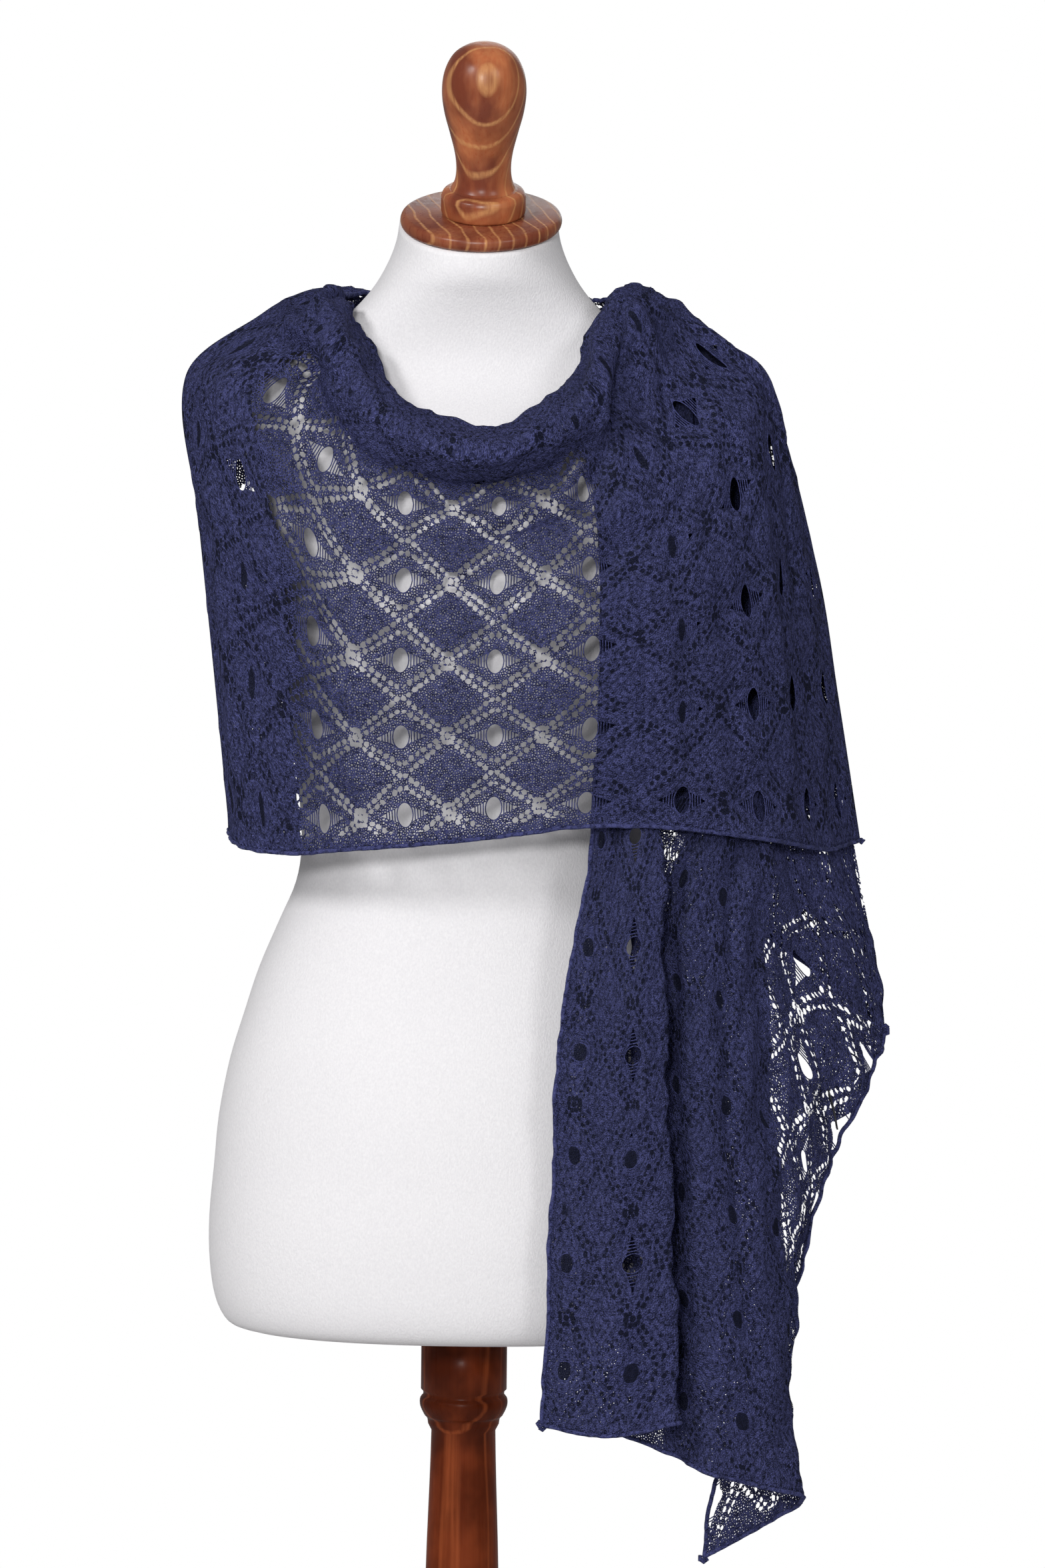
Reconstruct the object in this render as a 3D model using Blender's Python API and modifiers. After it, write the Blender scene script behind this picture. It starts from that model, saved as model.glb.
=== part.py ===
"""A knitted lace stole wrapped round an armless dress form on a turned wooden stand.

The stole is a rectangle of lace, 0.44 m wide. One end hangs in pleats down the front,
the cloth passes over that shoulder, across the back, round the other shoulder and
across the chest, and its other end falls onto the back. Each stretch is its own wall
with the lace's large eyes cut through. Metres, +Z up, the front faces -Y, and the
origin is the middle of the foot's underside.
"""

import math

import bmesh
import bpy
import numpy as np
from mathutils import Matrix, Vector

MM = 0.001
SEAM_GAP = 0.3 * MM
# Each wall is drawn back from its seam this far, in millimetres, so that the walls'
# corners stay 0.3 mm apart: more where the cloth turns sharply round the right side.
SOFT_DRAW = 0.5
SHARP_DRAW = 1.6
SHAWL = "Lace Shawl on Dress Form"

# The lace repeat, in millimetres of flat cloth.
WALL = 1.6
REPEAT_LONG = 65.0
REPEAT_WIDE = 51.0
EYE_LONG = 10.0
EYE_WIDE = 14.0
SELVEDGE = 18.0
HEM = 34.0
# The cloth's width as the lace lies on it: across the chest and back, where its top is
# tucked in, and on the hanging end.
WIDE_CROSS = 399.0
WIDE_END = 444.0
CROSS_FIRST = 21.0
# How many repeats run along each stretch and across it.
CROSS_EYES = (9, 8)
BACK_EYES = (8, 8)
END_EYES = (11, 9)
THROWN_EYES = (3, 8)

# The bare tag: length, width and thickness, how far it stands off the cloth, and the
# cell of the hanging end's grid that it is sewn over.
LABEL_SIZE = (24.0, 14.0, 1.0)
LABEL_STAND = 2.3
LABEL_CELL = ((13, 14), (23, 24))

# The torso, a row for each ring in millimetres: height, half width, front and back
# depth, and how far the ring leans forward in degrees.
TORSO_RINGS = (
    (750.3, 150, 84, 92, 0),
    (755, 162, 96, 106, 0),
    (770, 170, 103, 114, 0),
    (795, 174, 106, 118, 0),
    (825, 174.5, 107, 120, 0),
    (860, 171.5, 105, 119, 0),
    (893, 168.5, 103, 115, 0),
    (930, 161.5, 99, 107, 0),
    (962, 152, 94, 99, 0),
    (993, 142, 89, 92, 0),
    (1025, 128.5, 84, 85, 0),
    (1050, 118, 82, 80, 0),
    (1075, 114.5, 82, 78, 0),
    (1110, 116.5, 88, 80, 0),
    (1145, 121, 99, 84, 0),
    (1180, 126, 112, 89, 0),
    (1215, 128.5, 119, 93, 0),
    (1250, 131, 114, 96, 0),
    (1290, 139, 100, 97, 0),
    (1330, 151, 82, 91, 0),
    (1358, 166, 66, 80, 0),
    (1374, 172, 52, 67, 0),
    (1387, 159, 43, 56, 0),
    (1401, 134, 39, 51, 0),
    (1415, 108, 40, 49, 0),
    (1429, 86, 44, 48, 2),
    (1444, 71, 50, 47, 6),
    (1459, 61, 56, 45, 12),
    (1473, 55, 59, 40, 18),
    (1487, 52.5, 60, 39, 21),
)
TORSO_SIDES = 36
TORSO_ROUNDNESS = 2.15

# The neck cap and the knob on it share one leaning axis.
CAP_SEAT = (1.7, -10.5, 1487.6)
CAP_LEAN = 21.0
CAP_THICK = 9.6
KNOB_ASIDE = 1.4
# Turned profiles from the top down, a row for each ring in millimetres: radius, height.
CAP_PROFILE = (
    (0, CAP_THICK), (49.8, CAP_THICK), (52.3, 8.4), (53.5, 6), (53.5, 3.6), (52.4, 1.2),
    (50, 0), (0, 0),
)
FINIAL_PROFILE = (
    (0, 116.2), (5.5, 116.2), (12.5, 114.4), (20.8, 108), (26.2, 97), (27.8, 84), (26.2, 70),
    (22.6, 56), (19.2, 42), (18.1, 31), (19.2, 22), (22, 17), (26.4, 14.6), (28, 12), (28, 1.5),
    (27, 0), (0, 0),
)
POST_CENTRE = (-2.3, 0.0)
POST_PROFILE = (
    (0, 750), (28.9, 750), (28.9, 708.5), (27.3, 706.8), (27.3, 704.6), (29.3, 701.5),
    (29.3, 695.5), (26.4, 690.6), (24.6, 688.6), (23.9, 684.8), (21.6, 680.4),
    (22.2, 655), (24.4, 590), (26.4, 480), (25.2, 340), (21.4, 200), (19.6, 120),
    (22.6, 104), (26.8, 98), (26.8, 88), (24.2, 82), (31.5, 70), (34.5, 60), (34.5, 48.3),
    (0, 48.3),
)
BASE_PROFILE = (
    (0, 48), (58, 48), (66, 45.5), (72, 38), (96, 32), (140, 29), (163, 24), (170, 16),
    (170, 4), (166, 0), (0, 0),
)
TURNED_SIDES = 28

# The chest stretch. Each row is one line across the cloth, from the viewer's left
# shoulder to the right one, as (x, y, z) in millimetres. Its columns are the tucked
# edge, the roll's crest, its front, the crease under it, the upper chest, the bust
# line, the ribs and the lower edge.
CROSS_ROWS = (
    ((-90, 0, 1441), (-103, 0, 1446), (-122, 0, 1441), (-143, 0, 1429),
     (-194, 0, 1387), (-185, 0, 1292), (-174, 0, 1190), (-163, 0, 1084)),
    ((-84, -33, 1430), (-91, -39, 1437), (-108, -47, 1431), (-124, -41, 1413),
     (-166, -54, 1370), (-168, -64, 1285), (-160, -68, 1185), (-150, -62, 1077)),
    ((-66, -52, 1396), (-71, -62, 1406), (-88, -86, 1396), (-101, -78, 1369),
     (-125, -100, 1325), (-125, -114, 1250), (-120, -112, 1165), (-112, -100, 1077)),
    ((-48, -84, 1352), (-50, -90, 1377), (-60, -120, 1361), (-70, -110, 1333),
     (-78, -126, 1285), (-78, -139, 1222), (-76, -133, 1150), (-72, -122, 1082)),
    ((-24, -98, 1325), (-26, -104, 1363), (-28, -136, 1345), (-30, -116, 1319),
     (-30, -124, 1280), (-30, -137, 1218), (-29, -134, 1150), (-28, -126, 1086)),
    ((16, -99, 1320), (16, -106, 1357), (18, -138, 1339), (18, -116, 1318),
     (20, -124, 1280), (20, -137, 1218), (20, -135, 1152), (19, -127, 1091)),
    ((46, -88, 1346), (50, -96, 1376), (60, -126, 1359), (64, -114, 1334),
     (70, -128, 1288), (72, -140, 1224), (71, -135, 1156), (70, -126, 1098)),
    ((66, -66, 1386), (69, -74, 1399), (84, -104, 1389), (93, -98, 1356),
     (118, -116, 1305), (128, -126, 1235), (130, -124, 1165), (132, -116, 1097)),
    ((83, -36, 1426), (88, -42, 1436), (106, -58, 1430), (121, -60, 1388),
     (166, -72, 1348), (182, -80, 1260), (190, -82, 1170), (194, -78, 1087)),
    ((92, -6, 1444), (102, -6, 1450), (120, -12, 1443), (139, -18, 1428),
     (191, -20, 1380), (208, -16, 1282), (222, -15, 1175), (236, -13, 1076)),
    ((98, 16, 1446), (107, 18, 1449), (124, 22, 1441), (143, 25, 1428),
     (196, 33, 1372), (230, 48, 1264), (246.5, 50, 1172), (262, 47, 1078)),
)

# The stretch across the back, from the viewer's left shoulder to the right one, with
# columns from the neck edge down to the lower edge.
BACK_ROWS = (
    ((-90, 0, 1441), (-103, 0, 1446), (-122, 0, 1441), (-143, 0, 1429),
     (-194, 0, 1387), (-185, 0, 1292), (-174, 0, 1190), (-163, 0, 1084)),
    ((-80, 36, 1442), (-90, 42, 1446), (-108, 50, 1438), (-128, 56, 1418),
     (-168, 58, 1370), (-172, 60, 1285), (-163, 62, 1186), (-152, 58, 1082)),
    ((-50, 58, 1440), (-56, 68, 1443), (-66, 79, 1431), (-78, 87, 1404),
     (-104, 102, 1355), (-112, 107, 1275), (-108, 104, 1180), (-102, 99, 1079)),
    ((0, 65, 1438), (0, 76, 1442), (0, 88, 1429), (0, 96, 1400),
     (0, 110, 1350), (0, 115, 1272), (0, 112, 1175), (0, 109, 1072)),
    ((48, 58, 1440), (54, 67, 1443), (62, 77, 1431), (72, 86, 1404),
     (94, 102, 1352), (105, 110, 1270), (110, 111, 1165), (112, 108, 1052)),
    ((84, 36, 1439), (90, 42, 1440), (102, 51, 1428), (118, 59, 1404),
     (150, 74, 1352), (178, 84, 1255), (190, 86, 1140), (198, 82, 1011)),
    ((99, 8, 1439), (108, 9, 1435), (122, 10, 1427), (142, 12, 1415),
     (187, 19, 1375), (222, 45, 1262), (252, 47, 1098), (280.5, 50, 951)),
)

# The hanging front end, from the cast-off edge up to the shoulder. Its columns cross
# the cloth: inner selvedge, first fold, the recess behind it, the second fold and the
# outer selvedge, with a middle point between each two.
END_ROWS = (
    ((51, -124, 706), (93, -142, 702), (137, -140, 711), (122, -119, 705),
     (98, -103, 699), (128, -101, 687), (160, -128, 676), (195, -122, 666),
     (220.5, -99, 655), (201, -74, 634), (159, -60, 607)),
    ((53, -123, 766), (94, -142, 763), (134, -139, 771), (120, -118, 765),
     (98, -103, 759), (128, -100, 747), (162, -127, 735), (193, -120, 725),
     (214, -97, 716), (198, -75, 694), (168, -58, 665)),
    ((55, -122, 838), (95, -141, 836), (131, -138, 843), (118, -117, 837),
     (98, -103, 831), (126, -100, 819), (158, -124, 807), (189, -117, 797),
     (210, -95, 788), (209, -76, 762), (197, -55, 732)),
    ((57, -121, 899), (95, -140, 897), (129, -137, 904), (117, -117, 898),
     (99, -104, 892), (124, -100, 880), (154, -121, 868), (183, -113, 858),
     (204, -93, 849), (217, -72, 820), (219, -50, 788)),
    ((60, -119, 966), (96, -137, 964), (126, -135, 971), (116, -116, 965),
     (101, -104, 959), (122, -99, 947), (151, -117, 935), (177, -108, 925),
     (196, -91, 916), (224, -64, 884), (234, -40, 852)),
    ((69, -116, 1021), (98, -130, 1020), (124.5, -130, 1026), (116, -115, 1020),
     (103, -104, 1014), (122, -98, 1002), (149, -112, 990), (175, -104, 980),
     (192.5, -88, 971), (222, -58, 936), (249, 0, 882)),
    ((77, -112, 1071), (99, -120, 1071), (123, -120, 1076), (117, -111, 1070),
     (106, -101, 1064), (123, -101, 1052), (149, -105, 1040), (173, -98, 1030),
     (190, -84, 1021), (218, -50, 990), (268, 35, 916)),
    ((81, -106, 1140), (99, -107, 1142), (119, -105, 1145), (130, -101, 1140),
     (140, -97, 1132), (151, -94, 1124), (164, -90, 1115), (181, -82, 1105),
     (195, -70, 1097), (227, -20, 1045), (280.5, 49.5, 951)),
    ((82, -100, 1210), (99, -97, 1212), (118, -93, 1214), (132, -87, 1210),
     (144, -81, 1205), (156, -75, 1200), (168, -69, 1194), (183, -60, 1186),
     (197, -47, 1176), (223, -4, 1130), (264, 47.5, 1043)),
    ((83, -93, 1290), (98, -87, 1292), (114, -78, 1294), (128, -70, 1292),
     (140, -63, 1288), (151, -57, 1284), (162, -50, 1280), (175, -41, 1272),
     (188, -29, 1262), (207, 5, 1226), (237.5, 46.5, 1178)),
    ((88, -72, 1360), (99, -69, 1361), (111, -66, 1361), (121, -62, 1359),
     (131, -58, 1356), (141, -53, 1352), (151, -48, 1347), (163, -40, 1341),
     (174, -29, 1334), (191, 4, 1306), (222, 44.5, 1262)),
    ((98, -34, 1418), (106, -34, 1415), (115, -33, 1411), (123, -32, 1407),
     (131, -31, 1402), (140, -29, 1397), (149, -27, 1391), (161, -23, 1383),
     (173, -17, 1371), (186, 6, 1348), (202, 37, 1322)),
    ((100, 8, 1438.5), (108, 9, 1435), (117, 9.5, 1430), (126, 10, 1425),
     (134, 11, 1420), (143, 12, 1414.5), (152, 13, 1408.5), (163, 14.5, 1400),
     (174, 16, 1389.5), (184, 18, 1378), (190, 24, 1364)),
)

# The end on the back is the back stretch's own surface, moved out. Each row gives the
# place along the back (1 is the viewer's right shoulder), the place down it where the
# row starts and ends, and how far out it lies in millimetres.
END_BACK_ROWS = (
    (0.90, 0.04, 0.80, 9.5),
    (0.80, 0.10, 0.86, 10.5),
    (0.70, 0.20, 0.92, 11.0),
    (0.62, 0.32, 0.94, 11.0),
)


def remove_everything():
    """Empty the scene without closing the file."""
    for thing in list(bpy.data.objects):
        bpy.data.objects.remove(thing, do_unlink=True)


def collection(name):
    """Return the named collection, linked to the scene."""
    group = bpy.data.collections.get(name)
    if group is None:
        group = bpy.data.collections.new(name)
        bpy.context.scene.collection.children.link(group)
    return group


def principled(name, colour, roughness, sheen=0.0):
    """Make a plain Principled material."""
    finish = bpy.data.materials.new(name)
    finish.use_nodes = True
    shader = finish.node_tree.nodes["Principled BSDF"]
    shader.inputs["Base Color"].default_value = (*colour, 1.0)
    shader.inputs["Roughness"].default_value = roughness
    shader.inputs["Metallic"].default_value = 0.0
    shader.inputs["Sheen Weight"].default_value = sheen
    finish.diffuse_color = (*colour, 1.0)
    return finish


def add_object(name, points, faces, finish, smooth=True):
    """Link a mesh object built from points and faces."""
    mesh = bpy.data.meshes.new(name)
    mesh.from_pydata([tuple(p) for p in points], [], faces)
    mesh.materials.append(finish)
    mesh.polygons.foreach_set("use_smooth", [smooth] * len(mesh.polygons))
    mesh.update()
    thing = bpy.data.objects.new(name, mesh)
    collection(SHAWL).objects.link(thing)
    return thing


def hermite_weights(knots, samples):
    """Return the matrix that carries control values to smooth values at the samples."""
    count = len(knots)
    tangent = np.zeros((count, count))
    for i in range(count):
        low, high = max(i - 1, 0), min(i + 1, count - 1)
        span = knots[high] - knots[low]
        tangent[i, high] += 1.0 / span
        tangent[i, low] -= 1.0 / span
    weights = np.zeros((len(samples), count))
    for row, at in enumerate(samples):
        i = min(max(int(np.searchsorted(knots, at, side="right")) - 1, 0), count - 2)
        span = knots[i + 1] - knots[i]
        t = (at - knots[i]) / span
        weights[row, i] += 2 * t ** 3 - 3 * t ** 2 + 1
        weights[row, i + 1] += -2 * t ** 3 + 3 * t ** 2
        weights[row] += (t ** 3 - 2 * t ** 2 + t) * span * tangent[i]
        weights[row] += (t ** 3 - t ** 2) * span * tangent[i + 1]
    return weights


def mean_knots(net, axis):
    """Return places from 0 to 1 for the net's rows or columns, by their mean spacing."""
    steps = np.linalg.norm(np.diff(net, axis=axis), axis=2).mean(axis=1 - axis)
    return np.concatenate([[0.0], np.cumsum(steps)]) / steps.sum()


def drape(net, along, across):
    """Sample the smooth surface through a net of control points."""
    rows = hermite_weights(mean_knots(net, 0), along)
    columns = hermite_weights(mean_knots(net, 1), across)
    return np.einsum("ai,ijk,bj->abk", rows, net, columns)


def along_line(points, places):
    """Return points at places from 0 to 1 of a line's length, straight between points."""
    steps = np.linalg.norm(np.diff(points, axis=0), axis=1)
    reached = np.concatenate([[0.0], np.cumsum(steps)]) / steps.sum()
    return np.stack([np.interp(places, reached, points[:, k]) for k in range(3)], axis=1)


def set_seam(grid, row, line, draw):
    """Put a grid's first or last row on a seam, drawn back by its share of the gap."""
    beside = grid[1] if row == 0 else grid[-2]
    inward = beside - line
    inward /= np.linalg.norm(inward, axis=1, keepdims=True)
    grid[row] = line + inward * draw * MM


def normals_of(grid):
    """Return a unit normal for each point of a grid."""
    normal = np.cross(np.gradient(grid, axis=0), np.gradient(grid, axis=1))
    return normal / np.linalg.norm(normal, axis=2, keepdims=True)


def repeat_lines(total, count, first, pitch, hole):
    """Lay grid lines across one direction of the lace.

    Returns the places of the lines from 0 to 1 and the cells that hold an eye.
    """
    lines = [0.0]
    eyes = []
    for i in range(count):
        middle = first + i * pitch
        if i:
            lines.append(middle - pitch / 2)
        lines.append(middle - hole / 2)
        eyes.append(len(lines) - 1)
        lines.append(middle + hole / 2)
    lines.append(total)
    return [line / total for line in lines], eyes


def cloth(name, grid, along_eyes, across_eyes, finish):
    """Build one stretch of cloth with its eyes left out of the wall."""
    height, width = grid.shape[:2]
    faces = []
    for i in range(height - 1):
        for j in range(width - 1):
            if i in along_eyes and j in across_eyes:
                continue
            corner = i * width + j
            faces.append((corner, corner + 1, corner + width + 1, corner + width))
    thing = add_object(name, grid.reshape(-1, 3), faces, finish)
    wall = thing.modifiers.new("Wall", "SOLIDIFY")
    wall.thickness = WALL * MM
    wall.offset = 0.0
    wall.use_even_offset = False
    return thing


def ring_points(height, half_width, front, back, lean, sides):
    """Return one ring of the torso, fuller than an ellipse and leaning forward."""
    points = []
    power = 2.0 / TORSO_ROUNDNESS
    for i in range(sides):
        angle = 2.0 * math.pi * i / sides
        c, s = math.cos(angle), math.sin(angle)
        x = half_width * math.copysign(abs(c) ** power, c)
        y = (back if s > 0 else front) * math.copysign(abs(s) ** power, s)
        z = height + math.tan(math.radians(lean)) * (y - CAP_SEAT[1])
        points.append((x * MM, y * MM, z * MM))
    return points


def torso(finish):
    """Build the torso as a closed stack of rings."""
    sides = TORSO_SIDES
    points = []
    for ring in TORSO_RINGS:
        points += ring_points(*ring, sides)
    faces = []
    for r in range(len(TORSO_RINGS) - 1):
        for i in range(sides):
            a, b = r * sides + i, r * sides + (i + 1) % sides
            faces.append((a, b, b + sides, a + sides))
    faces.append(tuple(reversed(range(sides))))
    top = (len(TORSO_RINGS) - 1) * sides
    faces.append(tuple(range(top, top + sides)))
    return add_object("form_torso", points, faces, finish)


def turned(name, profile, finish, placing):
    """Turn a profile, listed from the top down, round its axis."""
    mesh = bpy.data.meshes.new(name)
    points = [(radius * MM, 0.0, height * MM) for radius, height in profile]
    edges = [(i, i + 1) for i in range(len(points) - 1)]
    mesh.from_pydata(points, edges, [])
    mesh.materials.append(finish)
    thing = bpy.data.objects.new(name, mesh)
    thing.matrix_world = placing
    collection(SHAWL).objects.link(thing)
    turn = thing.modifiers.new("Turn", "SCREW")
    turn.axis = "Z"
    turn.steps = TURNED_SIDES
    turn.render_steps = TURNED_SIDES
    turn.use_merge_vertices = True
    turn.merge_threshold = 0.00002
    turn.use_smooth_shade = True
    return thing


def stand(wood):
    """Build the cap, its knob, the post and the foot."""
    lean = Matrix.Rotation(math.radians(CAP_LEAN), 4, "X")
    seat = Matrix.Translation(Vector(CAP_SEAT) * MM) @ lean
    turned("form_neck_cap", CAP_PROFILE, wood, seat)
    knob_seat = seat @ Matrix.Translation((KNOB_ASIDE * MM, 0, CAP_THICK * MM + SEAM_GAP))
    turned("form_finial", FINIAL_PROFILE, wood, knob_seat)
    post = Matrix.Translation((POST_CENTRE[0] * MM, POST_CENTRE[1] * MM, 0))
    turned("stand_post", POST_PROFILE, wood, post)
    turned("stand_base", BASE_PROFILE, wood, Matrix.Identity(4))


def metres(rows):
    """Turn a table in millimetres into a net of points in metres."""
    return np.array(rows, dtype=float) * MM


def end_back_net():
    """Lay the thrown end over the back stretch, from the chest stretch's last line."""
    back = metres(BACK_ROWS)
    columns = len(CROSS_ROWS[-1])
    rows = [metres(CROSS_ROWS[-1])]
    step = 0.01
    for place, start, end, out in END_BACK_ROWS:
        across = np.linspace(start, end, columns)
        grid = drape(back, [place - step, place, place + step], across)
        rows.append(grid[1] + normals_of(grid)[1] * out * MM)
    return np.array(rows)


def label(end, finish):
    """Sew the bare tag on the hanging end, moved out from the cloth's own points."""
    rows, columns = LABEL_CELL
    patch = end[rows[0]:rows[1] + 1, columns[0]:columns[1] + 1]
    middle = Vector(patch.mean(axis=(0, 1)))
    up = Vector(patch[-1].mean(axis=0) - patch[0].mean(axis=0)).normalized()
    out = Vector(normals_of(patch).mean(axis=(0, 1))).normalized()
    if out.y > 0:
        out = -out
    side = out.cross(up).normalized()
    up = side.cross(out)
    middle += out * LABEL_STAND * MM
    turn = Matrix((up, side, out)).transposed().to_4x4()
    sizes = Matrix.Diagonal((*(size * MM for size in LABEL_SIZE), 1.0))
    block = bmesh.new()
    bmesh.ops.create_cube(block, size=1.0, matrix=Matrix.Translation(middle) @ turn @ sizes)
    mesh = bpy.data.meshes.new("shawl_label")
    block.to_mesh(mesh)
    block.free()
    mesh.materials.append(finish)
    collection(SHAWL).objects.link(bpy.data.objects.new("shawl_label", mesh))


def shawl(yarn, tape):
    """Build the four stretches of the shawl, meeting along their seams."""
    half = REPEAT_LONG / 2
    wide = repeat_lines(WIDE_CROSS, CROSS_EYES[1], CROSS_FIRST, REPEAT_WIDE, EYE_WIDE)
    end_wide = repeat_lines(WIDE_END, END_EYES[1], SELVEDGE, REPEAT_WIDE, EYE_WIDE)
    cross_long = repeat_lines(CROSS_EYES[0] * REPEAT_LONG, CROSS_EYES[0], half, REPEAT_LONG, EYE_LONG)
    back_long = repeat_lines(BACK_EYES[0] * REPEAT_LONG, BACK_EYES[0], half, REPEAT_LONG, EYE_LONG)
    end_long = repeat_lines(HEM + END_EYES[0] * REPEAT_LONG, END_EYES[0], HEM, REPEAT_LONG, EYE_LONG)
    thrown_long = repeat_lines(THROWN_EYES[0] * REPEAT_LONG, THROWN_EYES[0], half, REPEAT_LONG, EYE_LONG)

    cross = drape(metres(CROSS_ROWS), cross_long[0], wide[0])
    back = drape(metres(BACK_ROWS), back_long[0], wide[0])
    end = drape(metres(END_ROWS), end_long[0], end_wide[0])
    thrown = drape(end_back_net(), thrown_long[0], wide[0])

    left_shoulder = along_line(metres(CROSS_ROWS[0]), wide[0])
    set_seam(cross, 0, left_shoulder, SOFT_DRAW)
    set_seam(back, 0, left_shoulder, SOFT_DRAW)
    right_side = along_line(metres(CROSS_ROWS[-1]), wide[0])
    set_seam(cross, -1, right_side, SHARP_DRAW)
    set_seam(thrown, 0, right_side, SHARP_DRAW)
    corner = int(np.argmax(end[:, -1, 0]))
    under = np.concatenate([end[-1], end[corner:-1, -1][::-1]])
    set_seam(back, -1, along_line(under, wide[0]), 2.0 * SHARP_DRAW)

    cloth("shawl_front_cross", cross, cross_long[1], wide[1], yarn)
    cloth("shawl_back", back, back_long[1], wide[1], yarn)
    cloth("shawl_end_front", end, end_long[1], end_wide[1], yarn)
    cloth("shawl_end_back", thrown, thrown_long[1], wide[1], yarn)
    label(end, tape)


def main():
    """Build the whole part."""
    remove_everything()
    jersey = principled("White Jersey", (0.87, 0.86, 0.88), 0.85)
    wood = principled("Stained Pine", (0.33, 0.13, 0.055), 0.3)
    yarn = principled("Navy Heather Yarn", (0.042, 0.045, 0.095), 0.95, 0.3)
    torso(jersey)
    stand(wood)
    tape = principled("Black Woven Tape", (0.012, 0.012, 0.014), 0.8)
    shawl(yarn, tape)


main()
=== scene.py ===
"""Looks of a knitted lace shawl wrapped round an armless dress form.

The shawl's four stretches are thin shells on the same control nets as the solids,
sampled finely, with listed folds and a charted lace of eyes, ladders, eyelets
and plain diamonds. Yarn along hems, eyes and ladders is laid by Geometry
Nodes. The form and its turned stand are finer copies of the solids.
Metres, +Z up, the front faces -Y.
"""

import logging
import math
from dataclasses import dataclass, field
from enum import Enum
from typing import Optional, Sequence, Union

import bpy
import numpy as np
from mathutils import Matrix, Vector

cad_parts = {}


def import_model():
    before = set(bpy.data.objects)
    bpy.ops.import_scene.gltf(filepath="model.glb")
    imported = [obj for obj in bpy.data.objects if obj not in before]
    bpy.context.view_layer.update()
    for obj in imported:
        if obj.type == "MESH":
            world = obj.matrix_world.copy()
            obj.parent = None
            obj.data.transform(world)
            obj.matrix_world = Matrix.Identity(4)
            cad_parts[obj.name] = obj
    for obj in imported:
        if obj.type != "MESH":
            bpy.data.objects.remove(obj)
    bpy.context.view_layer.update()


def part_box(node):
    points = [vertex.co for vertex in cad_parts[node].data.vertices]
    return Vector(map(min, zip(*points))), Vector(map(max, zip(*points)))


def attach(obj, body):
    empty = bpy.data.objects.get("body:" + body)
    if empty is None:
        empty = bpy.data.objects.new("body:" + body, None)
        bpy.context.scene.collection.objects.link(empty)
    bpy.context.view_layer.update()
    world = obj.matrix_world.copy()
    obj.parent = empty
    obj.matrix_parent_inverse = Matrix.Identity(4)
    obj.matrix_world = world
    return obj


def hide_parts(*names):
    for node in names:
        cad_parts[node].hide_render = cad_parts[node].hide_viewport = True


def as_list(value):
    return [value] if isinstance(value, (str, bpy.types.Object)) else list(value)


LOG = logging.getLogger("lace_shawl")
MM = 0.001
BODY = "root"
Value = Union["Signal", float, Sequence[float]]
Pair = tuple[float, float]
Triple = tuple[float, float, float]
Net = tuple[tuple[Triple, ...], ...]
Runs = tuple[tuple[Pair, ...], ...]


class Step(Enum):
    """Arithmetic that a material's nodes do."""

    ADD = "ADD"
    TAKE = "SUBTRACT"
    TIMES = "MULTIPLY"
    OVER = "DIVIDE"
    POWER = "POWER"
    LEAST = "MINIMUM"
    MOST = "MAXIMUM"
    BELOW = "LESS_THAN"
    ABOVE = "GREATER_THAN"
    SIZE = "ABSOLUTE"
    PART = "FRACT"


class Held(Enum):
    DRAPED = "draped"
    HUNG = "hung"


class Edge(Enum):
    """The four edges of a stretch's grid."""

    FIRST_ROW = "first row"
    LAST_ROW = "last row"
    FIRST_COLUMN = "first column"
    LAST_COLUMN = "last column"


@dataclass(frozen=True)
class Signal:
    """A node's output in a material, on which arithmetic adds more nodes."""

    wiring: "Wiring"
    socket: bpy.types.NodeSocket

    def __add__(self, other: Value) -> "Signal":
        """Return the sum."""
        return self.wiring.math(Step.ADD, self, other)

    def __sub__(self, other: Value) -> "Signal":
        """Return what is left after taking the other."""
        return self.wiring.math(Step.TAKE, self, other)

    def __rsub__(self, other: float) -> "Signal":
        """Return a number less this."""
        return self.wiring.math(Step.TAKE, other, self)

    def __mul__(self, other: Value) -> "Signal":
        """Return the product."""
        return self.wiring.math(Step.TIMES, self, other)

    def __truediv__(self, other: Value) -> "Signal":
        """Return this over the other."""
        return self.wiring.math(Step.OVER, self, other)

    def __pow__(self, other: float) -> "Signal":
        """Return this to a power."""
        return self.wiring.math(Step.POWER, self, other)

    def __lt__(self, other: Value) -> "Signal":
        """Return 1 where this is less, or 0."""
        return self.wiring.math(Step.BELOW, self, other)

    def __gt__(self, other: Value) -> "Signal":
        """Return 1 where this is more, or 0."""
        return self.wiring.math(Step.ABOVE, self, other)

    def __abs__(self) -> "Signal":
        """Return the size without its sign."""
        return self.wiring.math(Step.SIZE, self)

    def part(self) -> "Signal":
        """Return what lies past the whole number."""
        return self.wiring.math(Step.PART, self)

    def most(self, other: Value) -> "Signal":
        """Return the greater of the two."""
        return self.wiring.math(Step.MOST, self, other)

    def least(self, other: Value) -> "Signal":
        """Return the lesser of the two."""
        return self.wiring.math(Step.LEAST, self, other)

    def ramp(self, low: float, high: float) -> "Signal":
        """Return the range from low to high spread over 0 to 1."""
        inputs = {"Value": self, "From Min": low, "From Max": high}
        return self.wiring.signal("ShaderNodeMapRange", inputs, clamp=True)


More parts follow.
